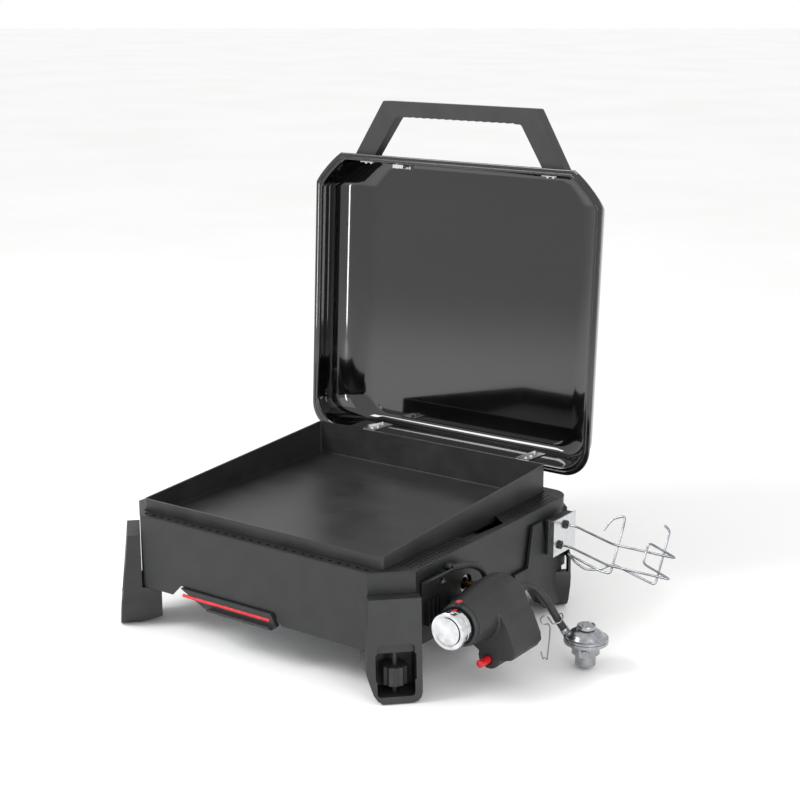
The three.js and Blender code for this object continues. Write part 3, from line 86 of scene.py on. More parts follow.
# ---- materials --------------------------------------------------------------
def colour(code):
    """sRGB hex as linear RGBA."""
    levels = [int(code[i : i + 2], 16) / 255 for i in (1, 3, 5)]
    return [v / 12.92 if v <= 0.04045 else ((v + 0.055) / 1.055) ** 2.4 for v in levels] + [1]


def put(tree, kind, inputs=None, **settings):
    """Adds a node with its settings, values and links."""
    made = tree.nodes.new(kind)
    for key, value in settings.items():
        setattr(made, key, value)
    for key, value in (inputs or {}).items():
        if isinstance(value, bpy.types.NodeSocket):
            tree.links.new(value, made.inputs[key])
        else:
            made.inputs[key].default_value = value
    return made


def start(name, metallic=0.0, ior=None, coat=0.0, coat_roughness=0.03):
    """A new material: its node tree, its shader and its Object coordinates."""
    made = bpy.data.materials.new(name)
    made.use_nodes = True
    tree = made.node_tree
    shader = tree.nodes["Principled BSDF"]
    shader.inputs["Metallic"].default_value = metallic
    if ior:
        shader.inputs["IOR"].default_value = ior
    shader.inputs["Coat Weight"].default_value = coat
    shader.inputs["Coat Roughness"].default_value = coat_roughness
    place = put(tree, "ShaderNodeTexCoord").outputs["Object"]
    return made, tree, shader, place


def tint(tree, shader, factor, dark, light, low=0.35, high=0.65):
    """Base colour that runs from dark to light with a 0 to 1 pattern."""
    ramp = put(tree, "ShaderNodeValToRGB", {"Fac": factor})
    ramp.color_ramp.elements[0].position = low
    ramp.color_ramp.elements[0].color = colour(dark)
    ramp.color_ramp.elements[1].position = high
    ramp.color_ramp.elements[1].color = colour(light)
    tree.links.new(ramp.outputs["Color"], shader.inputs["Base Color"])


def gloss(tree, shader, factor, smooth, rough):
    """Roughness that runs from smooth to rough with a 0 to 1 pattern."""
    spread = put(tree, "ShaderNodeMapRange", {"Value": factor, "To Min": smooth, "To Max": rough})
    tree.links.new(spread.outputs["Result"], shader.inputs["Roughness"])


def relief(tree, shader, height, distance_mm, strength=0.5):
    bump = put(tree, "ShaderNodeBump", {"Height": height, "Distance": distance_mm * MM, "Strength": strength})
    tree.links.new(bump.outputs["Normal"], shader.inputs["Normal"])


def grain(tree, place, size_mm, detail=3.0, roughness=0.5, stretch=(1, 1, 1)):
    """Noise whose blotches are size_mm across, longer where stretch is small."""
    mapped = put(tree, "ShaderNodeMapping", {"Vector": place, "Scale": stretch}).outputs["Vector"]
    return put(
        tree, "ShaderNodeTexNoise",
        {"Vector": mapped, "Scale": 1 / (size_mm * MM), "Detail": detail, "Roughness": roughness},
    ).outputs["Fac"]


def gloss_enamel():
    """Vitreous black enamel, sprayed and fired: near mirror, with a faint orange peel 4 mm across."""
    made, tree, shader, place = start("gloss_black_enamel", ior=1.52, coat=0.6)
    tint(tree, shader, grain(tree, place, 60), "#070708", "#0b0b0c")
    gloss(tree, shader, grain(tree, place, 9, 4), 0.05, 0.1)
    relief(tree, shader, grain(tree, place, 4, 1), 0.015, 0.25)
    return made


def satin_paint():
    """Baked satin black paint on pressed steel: fine 1.2 mm texture, a little dust in the low spots."""
    made, tree, shader, place = start("satin_black_paint", ior=1.5)
    tint(tree, shader, grain(tree, place, 35, 5), "#111213", "#191a1b")
    gloss(tree, shader, grain(tree, place, 14, 4), 0.38, 0.5)
    relief(tree, shader, grain(tree, place, 1.2, 2), 0.08, 0.4)
    return made


def moulded_nylon():
    """Glass-filled nylon from a spark-eroded mould: matt, 0.9 mm leather grain."""
    made, tree, shader, place = start("moulded_black_nylon", ior=1.53)
    tint(tree, shader, grain(tree, place, 28, 4), "#151617", "#1d1e20")
    gloss(tree, shader, grain(tree, place, 8, 3), 0.46, 0.6)
    cells = put(tree, "ShaderNodeTexVoronoi", {"Vector": place, "Scale": 1 / (0.9 * MM)}).outputs["Distance"]
    relief(tree, shader, cells, 0.07, 0.35)
    return made


def seasoned_steel():
    """Oil-seasoned rolled steel: dark, slightly metallic, 2 mm rolling streaks and baked blotches."""
    made, tree, shader, place = start("seasoned_rolled_steel", metallic=0.35)
    streaks = grain(tree, place, 2.2, 4, 0.6, (0.05, 1, 1))
    blotches = grain(tree, place, 55, 5, 0.55)
    both = put(tree, "ShaderNodeMix", {0: 0.35, 2: blotches, 3: streaks}, data_type="FLOAT").outputs[0]
    tint(tree, shader, both, "#242425", "#373636")
    gloss(tree, shader, both, 0.32, 0.46)
    relief(tree, shader, streaks, 0.04, 0.3)
    return made


def bright_steel():
    """Nickel-plated steel wire and sheet: bright, drawn lines 0.8 mm apart."""
    made, tree, shader, place = start("bright_plated_steel", metallic=1.0)
    drawn = grain(tree, place, 0.8, 3, 0.6, (0.06, 1, 1))
    tint(tree, shader, grain(tree, place, 18, 4), "#7d7f83", "#a3a5a9")
    gloss(tree, shader, drawn, 0.14, 0.3)
    relief(tree, shader, drawn, 0.02, 0.3)
    return made


def brushed_stainless():
    """Stainless sheet, belt brushed upwards: bright with fine vertical lines."""
    made, tree, shader, place = start("brushed_stainless", metallic=1.0)
    lines = grain(tree, place, 0.6, 4, 0.7, (1, 1, 0.03))
    tint(tree, shader, lines, "#c2c4c6", "#e2e3e4")
    gloss(tree, shader, lines, 0.2, 0.36)
    relief(tree, shader, lines, 0.02, 0.35)
    return made


def polished_chrome():
    """Chrome plate over a turned knob: mirror bright with the faint rings of the lathe, 0.7 mm apart."""
    made, tree, shader, place = start("polished_chrome", metallic=1.0)
    middle = at(308, 0, 103)
    centred = put(tree, "ShaderNodeMapping", {"Vector": place, "Location": (-middle.x, 0, -middle.z)},
                  vector_type="POINT")
    flat = put(tree, "ShaderNodeVectorMath", {0: centred.outputs["Vector"], 1: (1, 0, 1)},
               operation="MULTIPLY")
    reach = put(tree, "ShaderNodeVectorMath", {0: flat.outputs["Vector"]},
                operation="LENGTH").outputs["Value"]
    rings = put(tree, "ShaderNodeMath", {0: reach, 1: 2 * math.pi / (0.7 * MM)},
                operation="MULTIPLY").outputs[0]
    wave = put(tree, "ShaderNodeMath", {0: rings}, operation="SINE").outputs[0]
    tint(tree, shader, grain(tree, place, 15, 3), "#b9bbbe", "#d8d9da")
    gloss(tree, shader, wave, 0.08, 0.15)
    relief(tree, shader, wave, 0.006, 0.4)
    return made


def red_plastic():
    """Red ABS, moulded glossy: even colour with a trace of scuffing."""
    made, tree, shader, place = start("red_moulded_abs", ior=1.54)
    tint(tree, shader, grain(tree, place, 7, 4), "#b8141f", "#d0202b")
    gloss(tree, shader, grain(tree, place, 3, 4), 0.24, 0.4)
    relief(tree, shader, grain(tree, place, 1.4, 2), 0.03, 0.3)
    return made


def black_rubber():
    """Extruded nitrile rubber: matt, lightly dusted, 0.7 mm skin."""
    made, tree, shader, place = start("black_nitrile_rubber", ior=1.52)
    tint(tree, shader, grain(tree, place, 9, 4), "#161617", "#242426")
    gloss(tree, shader, grain(tree, place, 4, 3), 0.5, 0.68)
    relief(tree, shader, grain(tree, place, 0.7, 2), 0.04, 0.4)
    return made


def turned_brass():
    """Free-cutting brass, turned and lightly tarnished."""
    made, tree, shader, place = start("turned_brass", metallic=1.0)
    tint(tree, shader, grain(tree, place, 6, 5), "#8c6d34", "#c19b52")
    gloss(tree, shader, grain(tree, place, 2, 4), 0.2, 0.38)
    relief(tree, shader, grain(tree, place, 0.8, 2, 0.5, (0.2, 1, 1)), 0.02, 0.4)
    return made


def die_cast_zinc():
    """Zinc die casting, tumbled bright: soft lustre, 1.5 mm ripples and darker recesses."""
    made, tree, shader, place = start("die_cast_zinc", metallic=1.0)
    tint(tree, shader, grain(tree, place, 7, 5), "#8f9194", "#a6a8ab")
    gloss(tree, shader, grain(tree, place, 3, 4), 0.2, 0.3)
    relief(tree, shader, grain(tree, place, 1.5, 3), 0.015, 0.3)
    return made


def galvanised_sheet():
    """Hot-dip galvanised tray: spangle crystals about 9 mm across."""
    made, tree, shader, place = start("galvanised_sheet", metallic=1.0)
    spangle = put(tree, "ShaderNodeTexVoronoi", {"Vector": place, "Scale": 1 / (9 * MM)}).outputs["Color"]
    level = put(tree, "ShaderNodeRGBToBW", {"Color": spangle}).outputs["Val"]
    tint(tree, shader, level, "#7d8185", "#b4b8bb", 0.1, 0.9)
    gloss(tree, shader, level, 0.28, 0.48)
    relief(tree, shader, grain(tree, place, 2, 3), 0.03, 0.4)
    return made


def fired_ceramic():
    """Glazed alumina insulator: off-white with a slight speckle."""
    made, tree, shader, place = start("fired_ceramic", ior=1.6, coat=0.4)
    tint(tree, shader, grain(tree, place, 2, 4), "#d8d2c2", "#efeadf")
    gloss(tree, shader, grain(tree, place, 3, 3), 0.2, 0.35)
    relief(tree, shader, grain(tree, place, 1, 2), 0.02, 0.3)
    return made


def studio_floor():
    """Plain pale sweep."""
    made, tree, shader, place = start("studio_floor")
    tint(tree, shader, grain(tree, place, 900, 2), "#f6f6f5", "#fafafa")
    gloss(tree, shader, grain(tree, place, 400, 2), 0.55, 0.6)
    return made


ENAMEL = gloss_enamel()
PAINT = satin_paint()
NYLON = moulded_nylon()
GRIDDLE_STEEL = seasoned_steel()
BRIGHT = bright_steel()
STAINLESS = brushed_stainless()
CHROME = polished_chrome()
RED = red_plastic()
RUBBER = black_rubber()
BRASS = turned_brass()
ZINC = die_cast_zinc()
GALVANISED = galvanised_sheet()
CERAMIC = fired_ceramic()

SLOT_OF = {e["node"]: e["material_slot"] for e in frame["record"]["subparts"]}
BODY_OF = {n: b for b, names in frame["record"]["behaviour"]["bodies"].items() for n in names}
FINISH = {
    "black_painted_steel": PAINT,
    "gloss_black_enamel": ENAMEL,
    "seasoned_steel": GRIDDLE_STEEL,
    "plated_steel": BRIGHT,
    "ceramic": CERAMIC,
    "black_plastic": NYLON,
    "black_rubber": RUBBER,
    "red_plastic": RED,
    "chrome": CHROME,
    "brass": BRASS,
    "die_cast_zinc": ZINC,
    "galvanised_tray": GALVANISED,
}


# ---- making and placing pieces ------------------------------------------------
def soften(made, angle):
    """Smooth shading up to an angle, with the larger faces kept flat."""
    made.data.shade_smooth()
    made.data.set_sharp_from_angle(angle=math.radians(angle))
    weigh = made.modifiers.new("weigh", "WEIGHTED_NORMAL")
    weigh.keep_sharp = True
    bpy.context.view_layer.update()
    result = bpy.data.meshes.new_from_object(made.evaluated_get(bpy.context.evaluated_depsgraph_get()))
    made.modifiers.remove(weigh)
    old = made.data
    made.data = result
    bpy.data.meshes.remove(old)


def piece(name, bm, body, material, replaces=(), smooth=35, recalc=True):
    """Finishes a bmesh as an object that rides on a body and stands for the named nodes."""
    if recalc:
        bmesh.ops.recalc_face_normals(bm, faces=bm.faces)
    mesh = bpy.data.meshes.new(name)
    bm.to_mesh(mesh)
    bm.free()
    made = bpy.data.objects.new(name, mesh)
    bpy.context.scene.collection.objects.link(made)
    soften(made, smooth)
    made.data.materials.append(material)
    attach(made, body)
    if replaces:
        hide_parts(*replaces)
    return made


def eased(node, edge_mm, segments=2, angle=30, material=None, smooth=40):
    """A copy of a CAD solid with its sharp edges rounded, which stands for it."""
    bm = bmesh.new()
    bm.from_mesh(frame["nodes"][node].data)
    bmesh.ops.remove_doubles(bm, verts=bm.verts, dist=0.002 * MM)
    sharp = [e for e in bm.edges if e.is_manifold and e.calc_face_angle(0) > math.radians(angle)]
    bmesh.ops.bevel(
        bm, geom=sharp, offset=edge_mm * MM, offset_type="OFFSET", segments=segments, profile=0.5,
        affect="EDGES", clamp_overlap=True, material=-1,
    )
    slot = SLOT_OF[node]
    return piece(f"{node}_eased", bm, BODY_OF[node], material or FINISH[slot], (node,), smooth)


def turned(profile, origin, axis, steps=64):
    """A bmesh spun from a closed half section of (radius, height) in millimetres about an axis."""
    bm = bmesh.new()
    points = [bm.verts.new((r * MM, 0, h * MM)) for r, h in profile]
    edges = [bm.edges.new((points[i], points[i + 1])) for i in range(len(points) - 1)]
    bmesh.ops.spin(
        bm, geom=points + edges, cent=(0, 0, 0), axis=(0, 0, 1), angle=2 * math.pi, steps=steps,
        use_merge=True,
    )
    bmesh.ops.remove_doubles(bm, verts=bm.verts, dist=0.001 * MM)
    turn = Vector((0, 0, 1)).rotation_difference(Vector(axis).normalized()).to_matrix().to_4x4()
    bmesh.ops.transform(bm, matrix=Matrix.Translation(origin) @ turn, verts=bm.verts)
    return bm


def merge(bm, other):
    """Adds another bmesh to this one."""
    spare = bpy.data.meshes.new("spare")
    other.to_mesh(spare)
    other.free()
    bm.from_mesh(spare)
    bpy.data.meshes.remove(spare)


def rounded_path(points, bend, per_bend=7):
    """Straight runs joined by smooth bends, as a list of points."""
    path = [points[0]]
    for i in range(1, len(points) - 1):
        before = points[i - 1] - points[i]
        after = points[i + 1] - points[i]
        reach = min(bend * MM, before.length * 0.45, after.length * 0.45)
        enter = points[i] + before.normalized() * reach
        leave = points[i] + after.normalized() * reach
        for k in range(per_bend + 1):
            t = k / per_bend
            path.append(enter * (1 - t) ** 2 + points[i] * 2 * t * (1 - t) + leave * t**2)
    path.append(points[-1])
    return path


def round_bar(name, points, radius_mm, sides=4):
    """A curve of one open spline with a round section."""
    data = bpy.data.curves.new(name, "CURVE")
    data.dimensions = "3D"
    data.bevel_depth = radius_mm * MM
    data.bevel_resolution = sides
    data.use_fill_caps = True
    spline = data.splines.new("POLY")
    spline.points.add(len(points) - 1)
    for spot, point in zip(spline.points, points):
        spot.co = (*point, 1)
    made = bpy.data.objects.new(name, data)
    bpy.context.scene.collection.objects.link(made)
    return made


def bar_mesh(points, radius_mm, sides=4):
    """The mesh of a round bar, as a bmesh."""
    bar = round_bar("bar", points, radius_mm, sides)
    bpy.context.view_layer.update()
    mesh = bpy.data.meshes.new_from_object(bar)
    bpy.data.objects.remove(bar)
    bm = bmesh.new()
    bm.from_mesh(mesh)
    bpy.data.meshes.remove(mesh)
    bmesh.ops.remove_doubles(bm, verts=bm.verts, dist=0.001 * MM)
    return bm


# ---- hose ------------------------------------------------------------------------
HOSE_D = 11
HOSE_POINTS = [
    (331, -39.7, 123), (331, -34.5, 123.2), (333.6, -28, 123.4), (339.4, -22.3, 120.2), (346.2, -17.2, 113.2),
    (352.2, -12.2, 103.6), (357.2, -7.2, 92.3), (361.4, -2.2, 80.6), (365.6, 3, 69.2), (370.7, 8.4, 57.1),
]


def catmull(points, per_span=3):
    """A smooth run of points through the given ones."""
    ends = [points[0] * 2 - points[1]] + points + [points[-1] * 2 - points[-2]]
    run = []
    for i in range(1, len(ends) - 2):
        p0, p1, p2, p3 = ends[i - 1 : i + 3]
        for k in range(per_span):
            t = k / per_span
            run.append(
                (p1 * 2 + (p2 - p0) * t + (p0 * 2 - p1 * 5 + p2 * 4 - p3) * t**2
                 + (p1 * 3 - p0 - p2 * 3 + p3) * t**3)
                / 2
            )
    run.append(points[-1])
    return run


def gas_hose():
    run = catmull([at(*p) for p in HOSE_POINTS])
    hose = round_bar("gas_hose_run", run, HOSE_D / 2, 8)
    hose.data.materials.append(RUBBER)
    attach(hose, "base")
    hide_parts("gas_hose")


# ---- lid --------------------------------------------------------------------------
LID_W = 537
LID_L = 467
LID_DEPTH = 77
SHEET = 1.5
HINGE_Y = 247.3
HINGE_Z = 172.6
LID_LIFT = 3.9
LID_REAR = -19.3
LID_FRONT = LID_REAR - LID_L
LID_OPEN = 92.75
SIDE_R = 66
END_R = 15
RIM_INSET = 10
LID_PLACE = Matrix.Translation(at(0, HINGE_Y, HINGE_Z)) @ Matrix.Rotation(-math.radians(LID_OPEN), 4, "X")


def corner_plate(half_x, y0, y1, front_cut, rear_r, front_profile=0.3, z=0.0):
    """A flat face with cut front corners and round back corners, in millimetres turned to metres."""
    bm = bmesh.new()
    corners = [bm.verts.new((x * MM, y * MM, z * MM)) for x, y in
               ((-half_x, y0), (half_x, y0), (half_x, y1), (-half_x, y1))]
    bm.faces.new(corners)
    bmesh.ops.bevel(bm, geom=corners[2:], offset=rear_r * MM, offset_type="OFFSET", segments=12, profile=0.5,
                    affect="VERTICES", material=-1)
    front = [v for v in bm.verts if v.co.y < (y0 + 1) * MM]
    bmesh.ops.bevel(bm, geom=front, offset=front_cut * MM, offset_type="OFFSET", segments=6,
                    profile=front_profile, affect="VERTICES", material=-1)
    return bm


def lid_sections():
    """(inset across, inset along, height) of each ring, from the inner panel to the outer one."""
    def wall(thickness):
        rx = SIDE_R - thickness
        ry = END_R - thickness
        top = LID_DEPTH - thickness
        heights = [top - rx + rx * math.sin(math.radians(a)) for a in range(0, 52, 6)]
        heights = [h for h in heights if h < top - ry]
        heights += [top - ry + ry * math.sin(math.radians(a)) for a in range(0, 91, 9)]
        rings = []
        for h in heights:
            up_x = min(max(h - (top - rx), 0), rx)
            up_y = min(max(h - (top - ry), 0), ry)
            rings.append((RIM_INSET + thickness + rx - math.sqrt(max(rx * rx - up_x * up_x, 0)),
                          RIM_INSET + thickness + ry - math.sqrt(max(ry * ry - up_y * up_y, 0)), h))
        return rings

    inner = list(reversed(wall(SHEET)))
    lip = [(i, i, h) for i, h in (
        (11.5, 6), (11.5, 2.4), (11.1, 1.2), (10.3, 0.4), (9.2, 0), (7.4, 0), (6.9, 0.2), (6.6, 0.9),
        (6.1, 1.1), (5.6, 0.9), (5.3, 0.2), (4.8, 0), (1.6, 0), (0.6, 0.4), (0.1, 1.2), (0, 2.2),
        (0.4, 3.1), (1.3, 3.5), (3.8, 3.6), (4.7, 4), (5.4, 5), (6.4, 5.5), (8.6, 5.6), (9.6, 6.1),
        (10, 7.2))]
    return inner + lip + wall(0)


def lid_shell():
    """Deep pressed lid: rings of the rim outline carried round the section of the sheet."""
    bm = corner_plate(LID_W / 2, LID_FRONT, LID_REAR, 50, 44)
    seed = bm.faces[:]
    ring = bm.edges[:]
    bmesh.ops.delete(bm, geom=seed, context="FACES_ONLY")
    middle = Vector((0, (LID_FRONT + LID_REAR) / 2 * MM, 0))
    half_x = LID_W / 2
    half_y = LID_L / 2
    sections = lid_sections()
    last = (0.0, 0.0, 0.0)
    first_ring = ring
    for i, (ix, iy, h) in enumerate(sections):
        if i == 0:
            verts = list({v for e in ring for v in e.verts})
        else:
            out = bmesh.ops.extrude_edge_only(bm, edges=ring)["geom"]
            verts = [g for g in out if isinstance(g, bmesh.types.BMVert)]
            ring = [g for g in out if isinstance(g, bmesh.types.BMEdge) and all(v in verts for v in g.verts)]
        sx = (half_x - ix) / (half_x - last[0])
        sy = (half_y - iy) / (half_y - last[1])
        shift = Matrix.Translation((0, 0, (h - last[2]) * MM))
        scale = Matrix.Translation(middle) @ Matrix.Diagonal((sx, sy, 1, 1)) @ Matrix.Translation(-middle)
        bmesh.ops.transform(bm, matrix=shift @ scale, verts=verts)
        last = (ix, iy, h)
    for loop in (first_ring, ring):
        bmesh.ops.contextual_create(bm, geom=[e for e in loop if e.is_valid])
    bmesh.ops.transform(bm, matrix=LID_PLACE @ Matrix.Translation((0, 0, LID_LIFT * MM)), verts=bm.verts)
    piece("lid_pressing", bm, "lid", ENAMEL, ("lid_shell",), smooth=50)


HANDLE_FOOT = 396
HANDLE_TOP = 286
HANDLE_H = 96
HANDLE_BAR = 25
HANDLE_T = 20
HANDLE_W = 20.5


def lid_handle():
    """Arched bail with a scalloped finger grip."""
    y0 = LID_FRONT + RIM_INSET - 0.3
    foot = HANDLE_FOOT / 2
    top = HANDLE_TOP / 2
    y1 = y0 - HANDLE_H
    inner = y1 + HANDLE_BAR
    outline = [(-foot - 3, y0), (-foot + 36, y0), (-top + 27, inner)]
    scallops = 15
    run = (2 * (top - 27) - 20) / scallops
    for i in range(scallops):
        x = -top + 37 + i * run
        for k in range(6):
            t = k / 6
            outline.append((x + run * t, inner - 6.4 * t * (1 - t)))
    outline += [(top - 37, inner), (top - 27, inner), (foot - 36, y0), (foot + 3, y0), (top, y1), (-top, y1)]
    bm = bmesh.new()
    low = LID_LIFT + HANDLE_W - HANDLE_T / 2
    base = bm.faces.new([bm.verts.new((x * MM, y * MM, low * MM)) for x, y in outline])
    lifted = bmesh.ops.extrude_face_region(bm, geom=[base])["geom"]
    bmesh.ops.translate(bm, vec=(0, 0, HANDLE_T * MM),
                        verts=[g for g in lifted if isinstance(g, bmesh.types.BMVert)])
    bmesh.ops.recalc_face_normals(bm, faces=bm.faces)
    upright = [e for e in bm.edges if abs(e.verts[0].co.z - e.verts[1].co.z) > 0.01
               and e.calc_face_angle(0) > math.radians(32)]
    bmesh.ops.bevel(bm, geom=upright, offset=5 * MM, offset_type="OFFSET", segments=4, profile=0.5,
                    affect="EDGES", clamp_overlap=True, material=-1)
    rims = [e for e in bm.edges if abs(e.verts[0].co.z - e.verts[1].co.z) < 1e-6
            and e.calc_face_angle(0) > math.radians(60)]
    bmesh.ops.bevel(bm, geom=rims, offset=2.6 * MM, offset_type="OFFSET", segments=4, profile=0.5,
                    affect="EDGES", clamp_overlap=True, material=-1)
    bmesh.ops.transform(bm, matrix=LID_PLACE, verts=bm.verts)
    piece("lid_handle_grip", bm, "lid", NYLON, ("lid_handle",), smooth=40)


# ---- griddle plate ------------------------------------------------------------------
GRIDDLE_W = 435
GRIDDLE_D = 420
GRIDDLE_Y = 1
GRIDDLE_T = 3
GRIDDLE_SUNK = 12
GRIDDLE_FRONT_H = 18
GRIDDLE_BACK_H = 43


def cut_with(made, cutters):
    """Cuts boxes, given as (low corner, high corner) in metres, out of a piece's mesh."""
    bm = bmesh.new()
    for low, high in cutters:
        size = high - low
        grown = bmesh.ops.create_cube(bm, size=1)["verts"]
        bmesh.ops.transform(bm, matrix=Matrix.Translation((low + high) / 2) @ Matrix.Diagonal((*size, 1)),
                            verts=grown)
    mesh = bpy.data.meshes.new("cutter")
    bm.to_mesh(mesh)
    bm.free()
    cutter = bpy.data.objects.new("cutter", mesh)
    bpy.context.scene.collection.objects.link(cutter)
    carve = made.modifiers.new("carve", "BOOLEAN")
    carve.operation = "DIFFERENCE"
    carve.object = cutter
    carve.solver = "EXACT"
    bpy.context.view_layer.update()
    result = bpy.data.meshes.new_from_object(made.evaluated_get(bpy.context.evaluated_depsgraph_get()))
    made.modifiers.remove(carve)
    made.data = result
    bpy.data.objects.remove(cutter)


def griddle_plate():
    """Folded and welded cooking plate: low front, high back, soft inner corners."""
    low = LEDGE_Z - GRIDDLE_SUNK
    bm = bmesh.new()
    bmesh.ops.create_cube(bm, size=1)
    bmesh.ops.transform(bm, matrix=Matrix.Diagonal((GRIDDLE_W * MM, GRIDDLE_D * MM, 1, 1)), verts=bm.verts)
    for v in bm.verts:
        top = LEDGE_Z + (GRIDDLE_FRONT_H if v.co.y < 0 else GRIDDLE_BACK_H)
        v.co.z = (top if v.co.z > 0 else low) * MM
    bmesh.ops.delete(bm, geom=[f for f in bm.faces if f.normal.z > 0.5], context="FACES_ONLY")
    bmesh.ops.recalc_face_normals(bm, faces=bm.faces)
    corners = [e for e in bm.edges if abs(e.verts[0].co.z - e.verts[1].co.z) > 0.01
               and len(e.link_faces) == 2]
    bmesh.ops.bevel(bm, geom=corners, offset=5 * MM, offset_type="OFFSET", segments=5, profile=0.5,
                    affect="EDGES", material=-1)
    foot = [e for e in bm.edges if len(e.link_faces) == 2 and abs(e.verts[0].co.z - low * MM) < 1e-5
            and abs(e.verts[1].co.z - low * MM) < 1e-5]
    bmesh.ops.bevel(bm, geom=foot, offset=4 * MM, offset_type="OFFSET", segments=4, profile=0.5,
                    affect="EDGES", material=-1)
    bmesh.ops.recalc_face_normals(bm, faces=bm.faces)
    bmesh.ops.solidify(bm, geom=bm.faces[:], thickness=GRIDDLE_T * MM)
    bmesh.ops.transform(bm, matrix=Matrix.Translation(at(0, GRIDDLE_Y, 0)), verts=bm.verts)
    made = piece("griddle_plate_formed", bm, "base", GRIDDLE_STEEL, ("griddle_plate",),
                 smooth=35)
    y0 = GRIDDLE_Y - GRIDDLE_D / 2
    cut_with(made, [(at(-120, y0 + 7, low - GRIDDLE_T), at(-72, y0 + 21, LEDGE_Z))])
    soften(made, 35)


# ---- ledge with its perforations --------------------------------------------------
def obround(x, y, length, width, along_y=False, steps=5):
    """Outline of a slot with round ends."""
    reach = (length - width) / 2
    points = []
    for side in (1, -1):
        for k in range(steps + 1):
            a = math.pi * k / steps - math.pi / 2 + (0 if side > 0 else math.pi)
            points.append((side * reach + math.cos(a) * width / 2, math.sin(a) * width / 2))
    return [(x - v, y + u) if along_y else (x + u, y + v) for u, v in points]


def body_outline(inset=0.0):
    """Plan of the body: cut front corners, round back corners."""
    x = SIDE_X - inset
    y0 = FRONT_Y + inset
    y1 = REAR_Y - inset
    cut = FRONT_CUT - inset * 0.6
    r = REAR_R - inset
    points = [(-x + cut, y0), (x - cut, y0), (x, y0 + cut)]
    points += [(x - r + r * math.cos(a), y1 - r + r * math.sin(a))
               for a in (math.pi / 2 * k / 10 for k in range(11))]
    points += [(-x + r + r * math.cos(a), y1 - r + r * math.sin(a))
               for a in (math.pi / 2 + math.pi / 2 * k / 10 for k in range(11))]
    points.append((-x, y0 + cut))
    return points


OPEN_X = GRIDDLE_W / 2 + 1
OPEN_Y0 = GRIDDLE_Y - GRIDDLE_D / 2 - 1
OPEN_Y1 = GRIDDLE_Y + GRIDDLE_D / 2 + 1
VENT_Y0 = GRIDDLE_Y - 46
VENT_Y1 = GRIDDLE_Y + 68
SKIRT_INSET = 0.3
SKIRT_TOP = 0.4
SKIRT_H = 17
SKIRT_T = 1.2


def ledge_slots():
    """One row of slots along the front, staggered rows down both sides."""
    slots = []
    y = (FRONT_Y + OPEN_Y0) / 2
    for i in range(-13, 14):
        slots.append(obround(i * 15.5 - 2, y, 7, 4.2))
    for side in (-1, 1):
        for row, x in enumerate((224.5, 233, 241.5, 249)):
            spot = FRONT_Y + FRONT_CUT + 4 + (row % 2) * 3.5 + (4 if row == 3 else 0)
            while spot < REAR_Y - REAR_R:
                near_vent = side > 0 and VENT_Y0 - 5 < spot < VENT_Y1 + 5
                if not near_vent:
                    slots.append(obround(side * x, spot, 6.4, 2.3))
                spot += 7
    return slots


def flat_plate(rings, top_mm, thickness_mm):
    """A flat plate with holes, filled between closed outlines, as a bmesh at its height."""
    bm = bmesh.new()
    for points in rings:
        loop = [bm.verts.new((x, y, top_mm - thickness_mm)) for x, y in points]
        for i, vert in enumerate(loop):
            bm.edges.new((vert, loop[(i + 1) % len(loop)]))
    bmesh.ops.triangle_fill(bm, use_beauty=True, use_dissolve=False, edges=bm.edges[:], normal=(0, 0, 1))
    lifted = bmesh.ops.extrude_face_region(bm, geom=bm.faces[:], use_keep_orig=True)["geom"]
    top = [g for g in lifted if isinstance(g, bmesh.types.BMVert)]
    bmesh.ops.translate(bm, vec=(0, 0, thickness_mm), verts=top)
    bmesh.ops.recalc_face_normals(bm, faces=bm.faces)
    bmesh.ops.transform(bm, matrix=Matrix.Translation(at(0, 0, 0)) @ Matrix.Scale(MM, 4), verts=bm.verts)
    return bm


def top_frame():
    """Pressed ledge with slots, the burner's air opening and the turned-down skirt."""
    opening = [(-OPEN_X, OPEN_Y0), (OPEN_X, OPEN_Y0), (OPEN_X, VENT_Y0), (OPEN_X + 3, VENT_Y0 + 2),
               (SIDE_X - 15, VENT_Y0 + 16), (SIDE_X - 9, VENT_Y1 - 22), (OPEN_X + 3, VENT_Y1 - 2),
               (OPEN_X, VENT_Y1), (OPEN_X, OPEN_Y1), (-OPEN_X, OPEN_Y1)]
    bm = flat_plate([body_outline(), opening, *ledge_slots()], LEDGE_Z, SHEET)
    skirt_path = body_outline(SKIRT_INSET)[2:-1] + [(-SIDE_X + SKIRT_INSET, FRONT_Y + FRONT_CUT)]
    skirt = bmesh.new()
    top_verts = [skirt.verts.new(at(x, y, LEDGE_Z - SKIRT_TOP)) for x, y in skirt_path]
    edges = [skirt.edges.new((top_verts[i], top_verts[i + 1])) for i in range(len(top_verts) - 1)]
    out = bmesh.ops.extrude_edge_only(skirt, edges=edges)["geom"]
    bmesh.ops.translate(skirt, vec=(0, 0, (SKIRT_TOP - SKIRT_H) * MM),
                        verts=[g for g in out if isinstance(g, bmesh.types.BMVert)])
    bmesh.ops.recalc_face_normals(skirt, faces=skirt.faces)
    middle = at(0, 0, 0)
    if skirt.faces[:][0].normal.dot(skirt.faces[:][0].calc_center_median() - middle) < 0:
        bmesh.ops.reverse_faces(skirt, faces=skirt.faces)
    bmesh.ops.solidify(skirt, geom=skirt.faces[:], thickness=SKIRT_T * MM)
    merge(bm, skirt)
    piece("ledge_pressing", bm, "base", PAINT, ("top_frame",), smooth=35, recalc=False)


# ---- wires --------------------------------------------------------------------------
WIRE_R = 1.7
RACK_X = 276
EYE_UPPER = (174, 144)
EYE_LOWER = (158, 116.5)
DROP_X0 = RACK_X + 20
DROP_X1 = DROP_X0 + 62
RAIL_DROP = 15
RAIL_END = DROP_X1 + 102
TIP_BACK = 45
TIP_RISE = 15


